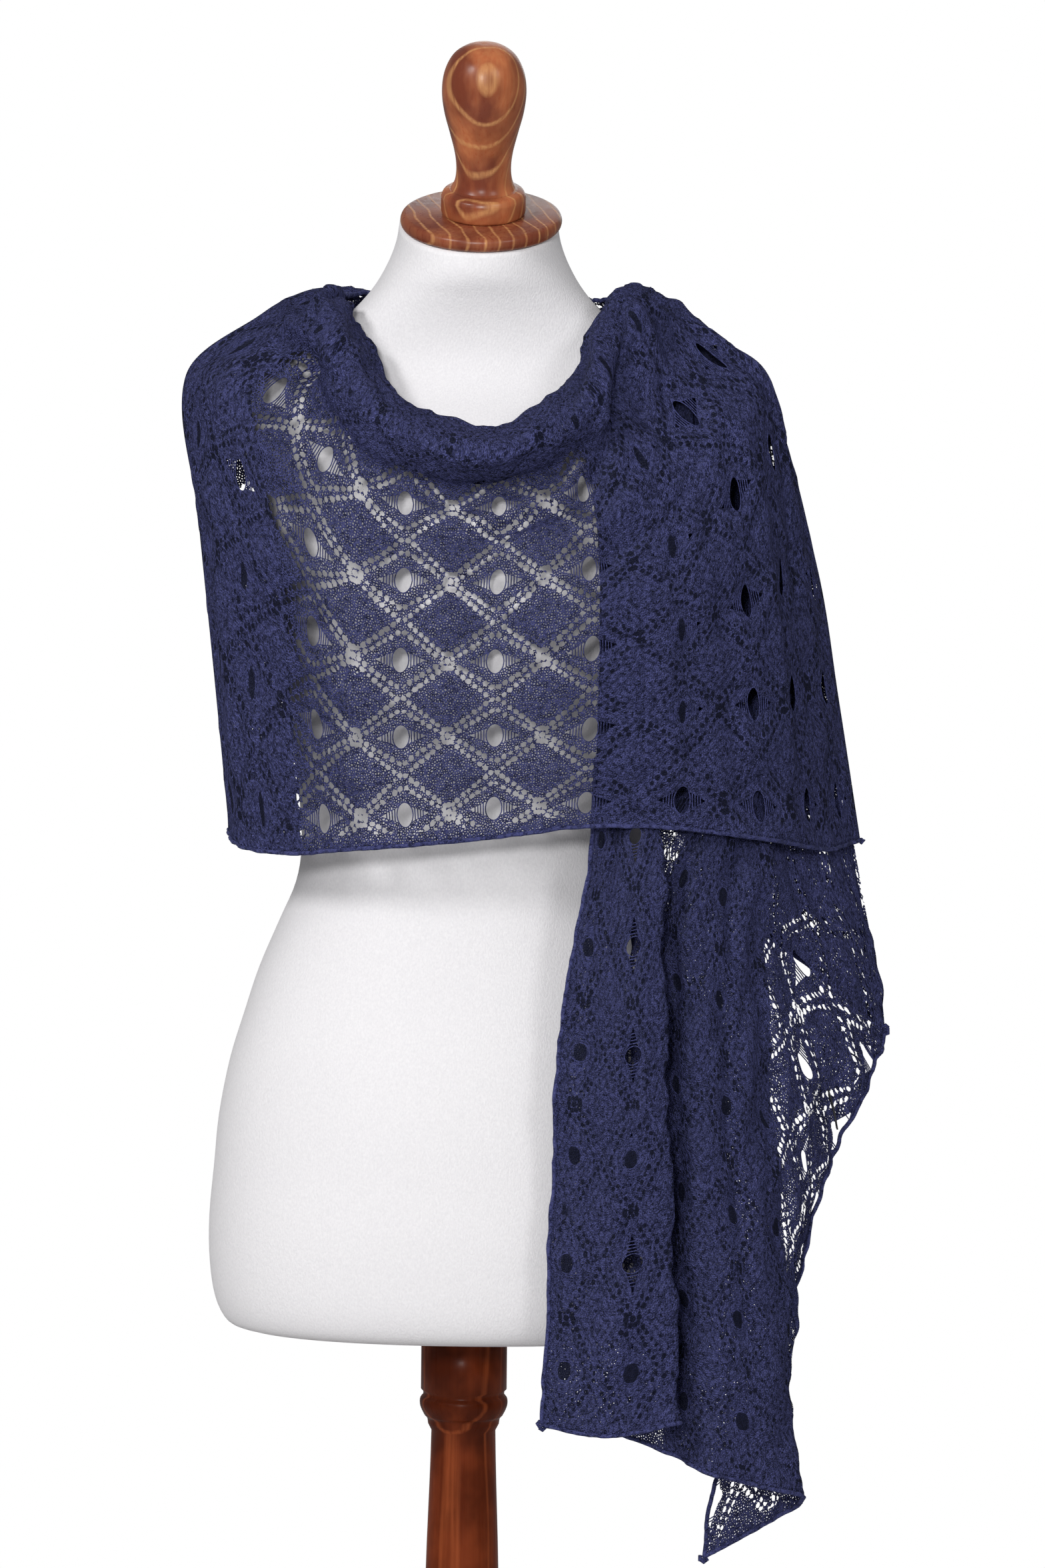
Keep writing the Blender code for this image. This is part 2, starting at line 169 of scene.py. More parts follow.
class Wiring:
    """Adds and joins the nodes of one material."""

    def __init__(self, name: str) -> None:
        """Start a material with its Principled shader.

        Args:
            name: The material's name.
        """
        self.finish = bpy.data.materials.new(name)
        self.finish.use_nodes = True
        self.tree = self.finish.node_tree
        self.shader = self.tree.nodes["Principled BSDF"]

    def put(self, socket: bpy.types.NodeSocket, value: Value) -> None:
        """Link a socket to a signal, or set it.

        Args:
            socket: The input to feed.
            value: A signal, a number or a tuple.
        """
        if isinstance(value, Signal):
            self.tree.links.new(value.socket, socket)
        else:
            socket.default_value = value

    def shade(self, **inputs: Value) -> None:
        """Feed the shader's inputs.

        Args:
            **inputs: Values by the input's name, in lower case with underscores.
        """
        for name, value in inputs.items():
            title = name.replace("_", " ").title().replace("Ior", "IOR")
            self.put(self.shader.inputs[title], value)

    def node(self, kind: str, inputs: dict[str, Value], **settings: object) -> bpy.types.Node:
        """Add a node.

        Args:
            kind: The node's type.
            inputs: Values for its inputs by name.
            **settings: Values for its own properties.

        Returns:
            The new node.
        """
        made = self.tree.nodes.new(kind)
        for name, value in settings.items():
            setattr(made, name, value)
        for name, value in inputs.items():
            self.put(made.inputs[name], value)
        return made

    def signal(self, kind: str, inputs: dict[str, Value], **settings: object) -> Signal:
        """Add a node as node does, and return its first output."""
        return Signal(self, self.node(kind, inputs, **settings).outputs[0])

    def math(self, step: Step, first: Value, second: Value = 0.0) -> Signal:
        """Add one step of arithmetic.

        Args:
            step: What it does.
            first: Its first number.
            second: Its second number, where the step has one.

        Returns:
            The result.
        """
        made = self.node("ShaderNodeMath", {}, operation=step.value)
        self.put(made.inputs[0], first)
        self.put(made.inputs[1], second)
        return Signal(self, made.outputs[0])

    def mix(self, share: Value, first: Value, second: Value) -> Signal:
        """Mix two colours.

        Args:
            share: How much of the second colour, from 0 to 1.
            first: The first colour.
            second: The second colour.

        Returns:
            The mixed colour.
        """
        made = self.node("ShaderNodeMix", {}, data_type="RGBA")
        self.put(made.inputs[0], share)
        for socket, colour in ((made.inputs[6], first), (made.inputs[7], second)):
            self.put(socket, colour if isinstance(colour, Signal) else (*colour, 1.0))
        return Signal(self, made.outputs[2])

    def here(self) -> Signal:
        """Return the piece's own coordinates."""
        return Signal(self, self.node("ShaderNodeTexCoord", {}).outputs["Object"])

    def split(self, where: Signal) -> list[Signal]:
        """Return the three coordinates of a place."""
        made = self.node("ShaderNodeSeparateXYZ", {"Vector": where})
        return [Signal(self, socket) for socket in made.outputs]

    def stretched(self, where: Signal, scale: Triple) -> Signal:
        """Return coordinates scaled by a factor for each axis."""
        return self.signal("ShaderNodeMapping", {"Vector": where, "Scale": scale})

    def noise(self, where: Signal, scale: Union[float, Triple], detail: float = 2.0) -> Signal:
        """Add noise.

        Args:
            where: The coordinates that it reads.
            scale: How many features there are in a unit, the same or for each axis.
            detail: How many finer layers it has.

        Returns:
            The noise's value.
        """
        if not isinstance(scale, float):
            where, scale = self.stretched(where, scale), 1.0
        inputs = {"Vector": where, "Scale": scale, "Detail": detail}
        return self.signal("ShaderNodeTexNoise", inputs)

    def bump(self, height: Signal, distance: float, strength: float) -> None:
        """Give the shader a bump of a height in metres and a strength."""
        inputs = {"Height": height, "Distance": distance, "Strength": strength}
        self.shade(normal=self.signal("ShaderNodeBump", inputs))


@dataclass(frozen=True)
class LaceChart:
    """The lace's repeat, charted in millimetres from an eye's middle.

    A line of eyelets is where it meets both axes and how many eyelets it has. A
    cluster is the round holes where lines meet: each one's middle and half sizes.
    """

    long: float = 65.0
    wide: float = 51.0
    eye: Pair = (5.7, 8.0)
    ladder: Pair = (17.5, 6.8)
    inner_line: tuple[float, float, int] = (31.0, 18.5, 7)
    outer_line: tuple[float, float, int] = (36.0, 27.0, 9)
    cluster: tuple[tuple[Pair, Pair], ...] = (
        ((32.5, 0.0), (2.1, 2.1)), ((32.5, 4.7), (1.9, 1.9)),
    )
    eyelet: Pair = (1.9, 1.65)
    plain: Pair = (29.0, 21.5)
    bars: tuple[float, ...] = (7.4, 9.4, 11.4, 13.4)
    stitch: float = 1.7
    row: float = 4.4
    # Half sizes of the dark slit painted into a shut eye as painted shade.
    slit: Pair = (3.2, 6.8)
    state: str = "draped"

    def folded(self, along: np.ndarray, across: np.ndarray) -> tuple[np.ndarray, np.ndarray]:
        """Return the distances from the nearest eye's middle.

        Args:
            along: Places along the lace, in repeats.
            across: Places across it, in repeats.

        Returns:
            The distances along and across, in millimetres.
        """
        return (
            np.abs(along % 1.0 - 0.5) * self.long,
            np.abs(across % 1.0 - 0.5) * self.wide,
        )

    def relief(self, along: np.ndarray, across: np.ndarray) -> np.ndarray:
        """Return how far the lace stands out: puffed plain diamonds and ribbed lines.

        Args:
            along: Places along the lace, in repeats.
            across: Places across it, in repeats.

        Returns:
            The heights in millimetres.
        """
        l, w = self.folded(along, across)
        inside = (self.long / 2 - l) / self.plain[0] + (self.wide / 2 - w) / self.plain[1]
        puff = np.clip(1.0 - inside, 0.0, 1.0) ** 0.8
        rib = np.exp(-(((l / 33.5 + w / 22.5) - 1.0) / 0.14) ** 2)
        sink = np.exp(-((l / 12.0) ** 2 + (w / 8.0) ** 2))
        return 2.7 * puff + 1.2 * rib - 1.3 * sink

    def in_eye(self, along: np.ndarray, across: np.ndarray) -> np.ndarray:
        """Say which places, in repeats, lie well inside an eye."""
        l, w = self.folded(along, across)
        return (l / self.eye[0]) ** 2 + (w / self.eye[1]) ** 2 < 0.9

    def bar_reach(self, place: float) -> float:
        """Return how far a ladder bar at a distance from the eye reaches each way."""
        return self.ladder[1] * (1.0 - place / self.ladder[0]) + 0.5


@dataclass(frozen=True)
class HeatherYarn:
    """Fine navy wool with paler fibres, as loose yarn or as knitted lace."""

    deep: Triple = (0.007, 0.008, 0.032)
    body: Triple = (0.112, 0.122, 0.345)
    fleck: Triple = (0.24, 0.26, 0.50)
    # Near-black colour painted into holes, pits and grooves as painted shade.
    painted_shade_colour: Triple = (0.006, 0.007, 0.018)

    def colour(self, wiring: Wiring, where: Signal, per_mm: float, painted_shade: Value) -> None:
        """Give the shader the fibres' mixed colour, darkened by painted shade, and wool's dry
        nap.

        Args:
            wiring: The material's wiring.
            where: The coordinates that the fibres follow.
            per_mm: How many units of the coordinates make a millimetre.
            painted_shade: Painted shade, from 0 to 1, which darkens the colour where holes,
                pits and grooves lie in shade, such as where a second layer shows dark through a
                hole.
        """
        broad = wiring.noise(where, 0.14 / per_mm, 4.0).ramp(0.4, 0.62)
        middle = wiring.noise(where, 0.33 / per_mm).ramp(0.43, 0.57)
        fine = wiring.noise(where, 0.95 / per_mm).ramp(0.42, 0.57)
        pale = wiring.noise(where, 1.7 / per_mm, 1.0).ramp(0.56, 0.7)
        tone = middle * 0.5 + (fine * 0.4 + broad * 0.3)
        fibres = wiring.mix(pale * 0.6, wiring.mix(tone, self.deep, self.body), self.fleck)
        # Painted shade mixes the fibres towards the near-black colour.
        wiring.shade(
            base_color=wiring.mix(painted_shade * 0.92, fibres, self.painted_shade_colour), roughness=0.95,
            specular_ior_level=0.05, sheen_weight=0.06, sheen_roughness=0.45,
            sheen_tint=(0.45, 0.5, 0.8, 1),
        )

    def yarn(self) -> bpy.types.Material:
        """Wire the finish of hems, eye rims and ladder bars.

        Returns:
            The material.
        """
        wiring = Wiring("Navy Heather Yarn, loose")
        where = wiring.here()
        # All loose yarn takes painted shade at 0.55, a darker copy of the lace's colour.
        self.colour(wiring, where, MM, 0.55)
        wiring.bump(wiring.noise(where, 900.0, 3.0), 0.0008, 0.7)
        return wiring.finish

    def eyelets(
        self, l: Signal, w: Signal, line: tuple[float, float, int], size: Pair,
        looseness: Signal,
    ) -> Signal:
        """Wire one slanted line of eyelets.

        Args:
            l: The distance from the eye's middle along the lace, in millimetres.
            w: The same across the lace.
            line: Where the line meets both axes, and how many eyelets it has.
            size: An eyelet's half length and half width.
            looseness: How much larger or smaller the eyelets are here, about 1.

        Returns:
            A signal that is 1 in the eyelets.
        """
        long, wide, count = line
        side = math.hypot(long, wide)
        pitch = side / count
        from_top = w - wide
        along = l * (long / side / pitch) - from_top * (wide / side / pitch)
        aside = l * (wide / side / size[1]) + from_top * (long / side / size[1])
        place = (along.part() - 0.5) * (pitch / size[0])
        return (place * place + aside * aside) < looseness

    def oval(self, l: Signal, w: Signal, middle: Pair, size: Pair) -> Signal:
        """Wire one oval hole.

        Args:
            l: The distance from the eye's middle along the lace, in millimetres.
            w: The same across the lace.
            middle: The hole's middle.
            size: Its half length and half width.

        Returns:
            A signal that is 1 in the hole.
        """
        x, y = (l - middle[0]) / size[0], (w - middle[1]) / size[1]
        return (x * x + y * y) < 1.0

    def ribs(self, l: Signal, w: Signal, flat: Signal, chart: LaceChart) -> Signal:
        """Wire the slanted rows of stitches, which run beside the eyelets.

        Args:
            l: The distance from the eye's middle along the lace, in millimetres.
            w: The same across the lace.
            flat: The place on the flat lace, in millimetres.
            chart: The lace's chart.

        Returns:
            A signal that rises from 0 on a row to 1 between two rows.
        """
        long, wide, _ = chart.outer_line
        side = math.hypot(long, wide)
        wander = flat.wiring.noise(flat, 0.12) * 7.0
        rows = (l * (wide / side) + w * (long / side) + wander) / chart.row
        return abs(rows.part() - 0.5) * 2.0

    def lace(self, chart: LaceChart) -> bpy.types.Material:
        """Wire the finish of the knitted lace, see-through where the chart is open, with
        painted shade in its closed eyelets, pits, stitch rims and grooves.

        Args:
            chart: The lace's chart.

        Returns:
            The material.
        """
        wiring = Wiring(f"Navy Heather Yarn, {chart.state} lace")
        where = wiring.signal("ShaderNodeUVMap", {}, uv_map="lace")
        flat = wiring.stretched(where, (chart.long, chart.wide, 1.0))
        along, across, _ = wiring.split(where)
        l, w = abs(along.part() - 0.5) * chart.long, abs(across.part() - 0.5) * chart.wide
        facts = wiring.node("ShaderNodeAttribute", {}, attribute_name="cloth_facts")
        colour = Signal(wiring, facts.outputs["Color"])
        parts = wiring.node("ShaderNodeSeparateColor", {"Color": colour})
        gate, crowding, doubled = (Signal(wiring, socket) for socket in parts.outputs)
        shut = Signal(wiring, facts.outputs["Alpha"]) < 0.5
        twice = doubled > 0.5

        looseness = wiring.noise(flat, 0.16) * 4.4 - 1.2 - crowding * 0.7 - twice * 0.4
        small = self.eyelets(l, w, chart.inner_line, chart.eyelet, looseness)
        small = small.most(self.eyelets(l, w, chart.outer_line, chart.eyelet, looseness))
        for middle, size in chart.cluster:
            small = small.most(self.oval(l, w, middle, size))
        small = small * (gate > 0.5)
        # Eyelets where the cloth is doubled stay closed and get painted shade below.
        covered = small * twice
        plain = (chart.long / 2 - l) / chart.plain[0] + (chart.wide / 2 - w) / chart.plain[1]
        closeness = (plain < 1.0) * 0.03 + (crowding * 0.12 + twice * 0.2)
        net = wiring.signal(
            "ShaderNodeTexVoronoi", {"Vector": flat, "Scale": 1.0 / chart.stitch},
            voronoi_dimensions="2D", feature="DISTANCE_TO_EDGE",
        )
        stitches = net > (closeness + 0.26)
        taper = l / chart.ladder[0] + w / chart.ladder[1]
        eye = self.oval(l, w, (0.0, 0.0), chart.eye).most(taper < 1.0)
        opening = (eye - eye * shut).most((small - covered).most(stitches))

        # Painted shade in the colour, added up below: closed eyelets in patches, random dark
        # pits, dark slits in shut eyes, stitch-hole rims and the grooves between rows.
        patchy = wiring.noise(flat, 0.055).ramp(0.34, 0.44)
        # Random dark pits, painted shade where the cloth is doubled.
        loose = wiring.noise(flat, 0.4, 3.0).ramp(0.6, 0.64)
        # Shut eyes get a dark slit of painted shade where the stitches are not crowded.
        slit = self.oval(l, w, (0.0, 0.0), chart.slit) * shut * (crowding < 0.45)
        painted_shade = (covered * patchy).most(loose * twice).most(slit)
        painted_shade = painted_shade.most(net.ramp(0.2, 0.42) * 0.75)
        ribs = self.ribs(l, w, flat, chart)
        # Weight of the crumpled bump and of the painted shade in the grooves, higher where
        # doubled.
        slack_and_shade = twice * 0.9 + 0.35
        painted_shade = painted_shade.most(ribs.ramp(0.62, 0.95) * 0.5 * slack_and_shade)
        self.colour(wiring, flat, 1.0, painted_shade)
        wiring.shade(alpha=1.0 - opening)
        fuzz = wiring.noise(flat, 0.9, 3.0) * 0.4 + wiring.noise(flat, 0.13, 3.0) * slack_and_shade
        wiring.bump(fuzz - ribs * 0.16 - net.least(0.3), 0.005, 1.0)
        return wiring.finish


@dataclass(frozen=True)
class StainedPine:
    """Turned pine with a red-brown stain and a satin gloss.

    The growth rings are cylinders round an upright axis behind the piece, so that they
    run up a post and close into long loops where the turning bulges. The stain leaves
    each ring as a thin pale line.
    """

    dark: Triple = (0.13, 0.026, 0.014)
    mid: Triple = (0.46, 0.135, 0.052)
    light: Triple = (0.66, 0.33, 0.13)
    gloss: float = 0.2
    pith: Pair = (0.014, 0.062)
    ring: float = 0.0098

    def material(self) -> bpy.types.Material:
        """Wire the finish.

        Returns:
            The material.
        """
        wiring = Wiring("Stained Pine")
        where = wiring.here()
        x, y, _ = wiring.split(where)
        x, y = x - self.pith[0], y - self.pith[1]
        far = (x * x + y * y) ** 0.5 + wiring.noise(where, (14.0, 14.0, 3.0)) * 0.03
        late = (0.5 - abs((far / self.ring).part() - 0.5)).ramp(0.38, 0.47)
        streak = wiring.noise(where, (420.0, 420.0, 9.0), 3.0).ramp(0.35, 0.7)
        cloud = wiring.noise(where, (34.0, 34.0, 22.0), 3.0).ramp(0.36, 0.62)
        ground = wiring.mix(streak * 0.2, self.mid, self.light)
        ground = wiring.mix(cloud * 0.9, ground, self.dark)
        wiring.shade(
            base_color=wiring.mix(late * (streak * 0.4 + 0.3), ground, self.light),
            roughness=streak * 0.12 + 0.27, specular_ior_level=self.gloss,
            coat_weight=self.gloss * 0.3, coat_roughness=0.2,
        )
        wiring.bump(late * streak, 0.0004, 0.3)
        return wiring.finish


@dataclass(frozen=True)
class CottonJersey:
    """The form's smooth white cover, with its fine upright ribs."""

    white: Triple = (0.83, 0.815, 0.83)
    grey: Triple = (0.74, 0.725, 0.745)

    def material(self) -> bpy.types.Material:
        """Wire the finish.

        Returns:
            The material.
        """
        wiring = Wiring("White Jersey")
        where = wiring.here()
        rib = wiring.noise(where, (900.0, 900.0, 500.0), 3.0).ramp(0.3, 0.7)
        broad = wiring.noise(where, 9.0, 3.0).ramp(0.35, 0.75)
        wiring.shade(
            base_color=wiring.mix(rib * 0.8 + broad * 0.2, self.white, self.grey),
            roughness=0.85, specular_ior_level=0.2, sheen_weight=0.15,
        )
        wiring.bump(rib, 0.0004, 0.35)
        return wiring.finish


@dataclass(frozen=True)
class WovenTape:
    """Plain black tape with a fine twill."""

    black: Triple = (0.010, 0.010, 0.012)
    worn: Triple = (0.035, 0.035, 0.04)

    def material(self) -> bpy.types.Material:
        """Wire the finish.

        Returns:
            The material.
        """
        wiring = Wiring("Black Woven Tape")
        twill = wiring.noise(wiring.here(), (2600.0, 2600.0, 1400.0), 1.0)
        wiring.shade(
            base_color=wiring.mix(twill.ramp(0.45, 0.75), self.black, self.worn), roughness=0.6
        )
        wiring.bump(twill, 0.0003, 0.5)
        return wiring.finish


def link_mesh(
    name: str, points: Sequence, edges: Sequence, faces: Sequence, finish: bpy.types.Material
) -> bpy.types.Object:
    """Link a mesh object at the origin.

    Args:
        name: The piece's name.
        points: Its points in metres.
        edges: Its loose edges.
        faces: Its faces.
        finish: Its material.

    Returns:
        The object.
    """
    mesh = bpy.data.meshes.new(name)
    mesh.from_pydata(np.asarray(points).reshape(-1, 3).tolist(), edges, faces)
    mesh.materials.append(finish)
    mesh.polygons.foreach_set("use_smooth", [True] * len(mesh.polygons))
    mesh.update()
    made = bpy.data.objects.new(name, mesh)
    bpy.context.scene.collection.objects.link(made)
    return made


def made_plain(piece: bpy.types.Object) -> None:
    """Turn a piece's modifiers into its plain mesh.

    Args:
        piece: The piece.
    """
    evaluated = piece.evaluated_get(bpy.context.evaluated_depsgraph_get())
    plain = bpy.data.meshes.new_from_object(evaluated)
    piece.modifiers.clear()
    piece.data = plain
    plain.name = piece.name


def thicken(piece: bpy.types.Object, wall: float) -> None:
    """Give a sheet a wall, half to each side.

    Args:
        piece: The sheet.
        wall: The wall's thickness in millimetres.
    """
    shell = piece.modifiers.new("Wall", "SOLIDIFY")
    shell.thickness = wall * MM
    shell.offset = 0.0
    shell.use_even_offset = False


def grid_faces(rows: int, columns: int, closed: bool = False) -> list[tuple[int, ...]]:
    """Return the faces of a grid of points.

    Args:
        rows: How many rows of points it has.
        columns: How many points a row has.
        closed: Whether each row's end joins its start.

    Returns:
        The faces, row by row.
    """
    faces = []
    for start in range(0, (rows - 1) * columns, columns):
        for i in range(columns if closed else columns - 1):
            a, b = start + i, start + (i + 1) % columns
            faces.append((a, b, b + columns, a + columns))
    return faces


def places_of(steps: np.ndarray) -> np.ndarray:
    """Return where each point of a line lies along it, from 0 to 1."""
    return np.concatenate([[0.0], np.cumsum(steps)]) / steps.sum()


class YarnLaying:
    """A Geometry Nodes tree that lays round yarn along a mesh of lines."""

    def __init__(self) -> None:
        """Build the tree with its named inputs."""
        tree = bpy.data.node_groups.new("Yarn Along Lines", "GeometryNodeTree")
        self.tree = tree
        self.inputs: dict[str, str] = {}
        for name, kind, value in (
            ("Lines", "NodeSocketGeometry", None),
            ("Radius", "NodeSocketFloat", 0.001),
            ("Sides", "NodeSocketInt", 6),
            ("Spacing", "NodeSocketFloat", 0.003),
            ("Unevenness", "NodeSocketFloat", 0.0004),
            ("Lumps", "NodeSocketFloat", 150.0),
            ("Yarn", "NodeSocketMaterial", None),
        ):
            socket = tree.interface.new_socket(name=name, in_out="INPUT", socket_type=kind)
            if value is not None:
                socket.default_value = value
            self.inputs[name] = socket.identifier
        tree.interface.new_socket(
            name="Yarn", in_out="OUTPUT", socket_type="NodeSocketGeometry"
        )
        self.wire()

    def wire(self) -> None:
        """Add and join the tree's nodes."""
        new, links = self.tree.nodes.new, self.tree.links.new
        given, result = new("NodeGroupInput"), new("NodeGroupOutput")
        curves, resample = new("GeometryNodeMeshToCurve"), new("GeometryNodeResampleCurve")
        resample.mode = "LENGTH"
        position, noise = new("GeometryNodeInputPosition"), new("ShaderNodeTexNoise")
        centred, pushed = new("ShaderNodeVectorMath"), new("ShaderNodeVectorMath")
        centred.operation, pushed.operation = "SUBTRACT", "SCALE"
        centred.inputs[1].default_value = (0.5, 0.5, 0.5)
        moved, ring = new("GeometryNodeSetPosition"), new("GeometryNodeCurvePrimitiveCircle")
        tube, coat = new("GeometryNodeCurveToMesh"), new("GeometryNodeSetMaterial")
        tube.inputs["Fill Caps"].default_value = True
        whole = new("GeometryNodeRealizeInstances")
        for source, output, target, entry in (
            (given, "Lines", curves, "Mesh"), (curves, 0, resample, "Curve"),
            (given, "Spacing", resample, "Length"), (position, 0, noise, "Vector"),
            (given, "Lumps", noise, "Scale"), (noise, "Color", centred, 0),
            (centred, 0, pushed, 0), (given, "Unevenness", pushed, "Scale"),
            (resample, 0, moved, "Geometry"), (pushed, 0, moved, "Offset"),
            (given, "Sides", ring, "Resolution"), (given, "Radius", ring, "Radius"),
            (moved, 0, tube, "Curve"), (ring, 0, tube, "Profile Curve"),
            (tube, 0, whole, 0), (whole, 0, coat, "Geometry"),
            (given, "Yarn", coat, "Material"), (coat, 0, result, 0),
        ):
            links(source.outputs[output], target.inputs[entry])

    def lay(
        self, name: str, lines: list[np.ndarray], yarn: bpy.types.Material,
        **sizes: Union[int, float],
    ) -> bpy.types.Object:
        """Lay yarn along lines.

        Args:
            name: The piece's name.
            lines: The lines' points, in metres.
            yarn: The yarn's material.
            **sizes: Values for the tree's inputs, lengths in metres.

        Returns:
            The piece, as a plain mesh.
        """
        edges, start = [], 0
        for line in lines:
            edges += [(start + i, start + i + 1) for i in range(len(line) - 1)]
            start += len(line)
        made = link_mesh(name, np.concatenate(lines), edges, [], yarn)
        laid = made.modifiers.new("Yarn", "NODES")
        laid.node_group = self.tree
        for key, value in {**sizes, "Yarn": yarn}.items():
            laid[self.inputs[key]] = value
        made_plain(made)
        made.data.polygons.foreach_set("use_smooth", [True] * len(made.data.polygons))
        return made


def hermite_weights(knots: np.ndarray, samples: Sequence[float]) -> np.ndarray:
    """Return the matrix that carries control values to smooth values.

    Args:
        knots: The control values' places, rising from 0 to 1.
        samples: The places of the smooth values.

    Returns:
        A matrix with a row for each sample.
    """
    count = len(knots)
    tangent = np.zeros((count, count))
    for i in range(count):
        low, high = max(i - 1, 0), min(i + 1, count - 1)
        span = knots[high] - knots[low]
        tangent[i, high] += 1.0 / span
        tangent[i, low] -= 1.0 / span
    weights = np.zeros((len(samples), count))
    for row, at in enumerate(samples):
        i = min(max(int(np.searchsorted(knots, at, side="right")) - 1, 0), count - 2)
        span = knots[i + 1] - knots[i]
        t = (at - knots[i]) / span
        weights[row, i] += 2 * t**3 - 3 * t**2 + 1
        weights[row, i + 1] += -2 * t**3 + 3 * t**2
        weights[row] += (t**3 - 2 * t**2 + t) * span * tangent[i]
        weights[row] += (t**3 - t**2) * span * tangent[i + 1]
    return weights


def mean_knots(net: np.ndarray, axis: int) -> np.ndarray:
    """Return places from 0 to 1 for the net's rows (axis 0) or columns (axis 1)."""
    return places_of(np.linalg.norm(np.diff(net, axis=axis), axis=2).mean(axis=1 - axis))


def drape(net: np.ndarray, along: Sequence[float], across: Sequence[float]) -> np.ndarray:
    """Sample the smooth surface through a net of control points.

    Args:
        net: The control points.
        along: Places along the rows' direction, from 0 to 1.
        across: Places across it, from 0 to 1.

    Returns:
        A grid of points.
    """
    rows = hermite_weights(mean_knots(net, 0), along)
    columns = hermite_weights(mean_knots(net, 1), across)
    return np.einsum("ai,ijk,bj->abk", rows, net, columns)


def along_line(points: np.ndarray, places: Sequence[float]) -> np.ndarray:
    """Return the points of a line at places from 0 to 1 of its length."""
    knots = places_of(np.linalg.norm(np.diff(points, axis=0), axis=1))
    return np.stack([np.interp(places, knots, points[:, k]) for k in range(3)], axis=1)


def normals_of(grid: np.ndarray) -> np.ndarray:
    """Return a unit normal for each point of a grid."""
    normal = np.cross(np.gradient(grid, axis=0), np.gradient(grid, axis=1))
    return normal / np.maximum(np.linalg.norm(normal, axis=2, keepdims=True), 1e-12)


def metres(rows: Net) -> np.ndarray:
    """Return a table in millimetres as a net of points in metres."""
    return np.array(rows, dtype=float) * MM


@dataclass(frozen=True)
class Fold:
    """A soft ridge or trough placed in millimetres of flat cloth.

    One of height 1 also marks an area, such as where the eyes are shut.
    """

    path: tuple[Pair, ...]
    width: float
    height: float = 1.0

    def lift(self, along: np.ndarray, across: np.ndarray) -> np.ndarray:
        """Return how far the fold moves each place of the cloth.

        Args:
            along: Distances along the cloth.
            across: Distances up from its lower edge.

        Returns:
            The heights in millimetres, outward.
        """
        nearest = np.full(along.shape, 1e9)
        for (x0, y0), (x1, y1) in zip(self.path, self.path[1:]):
            dx, dy = x1 - x0, y1 - y0
            t = ((along - x0) * dx + (across - y0) * dy) / (dx * dx + dy * dy)
            t = np.clip(t, 0.0, 1.0)
            far = np.hypot(along - x0 - t * dx, across - y0 - t * dy)
            nearest = np.minimum(nearest, far)
        return self.height * np.exp(-((nearest / self.width) ** 2))


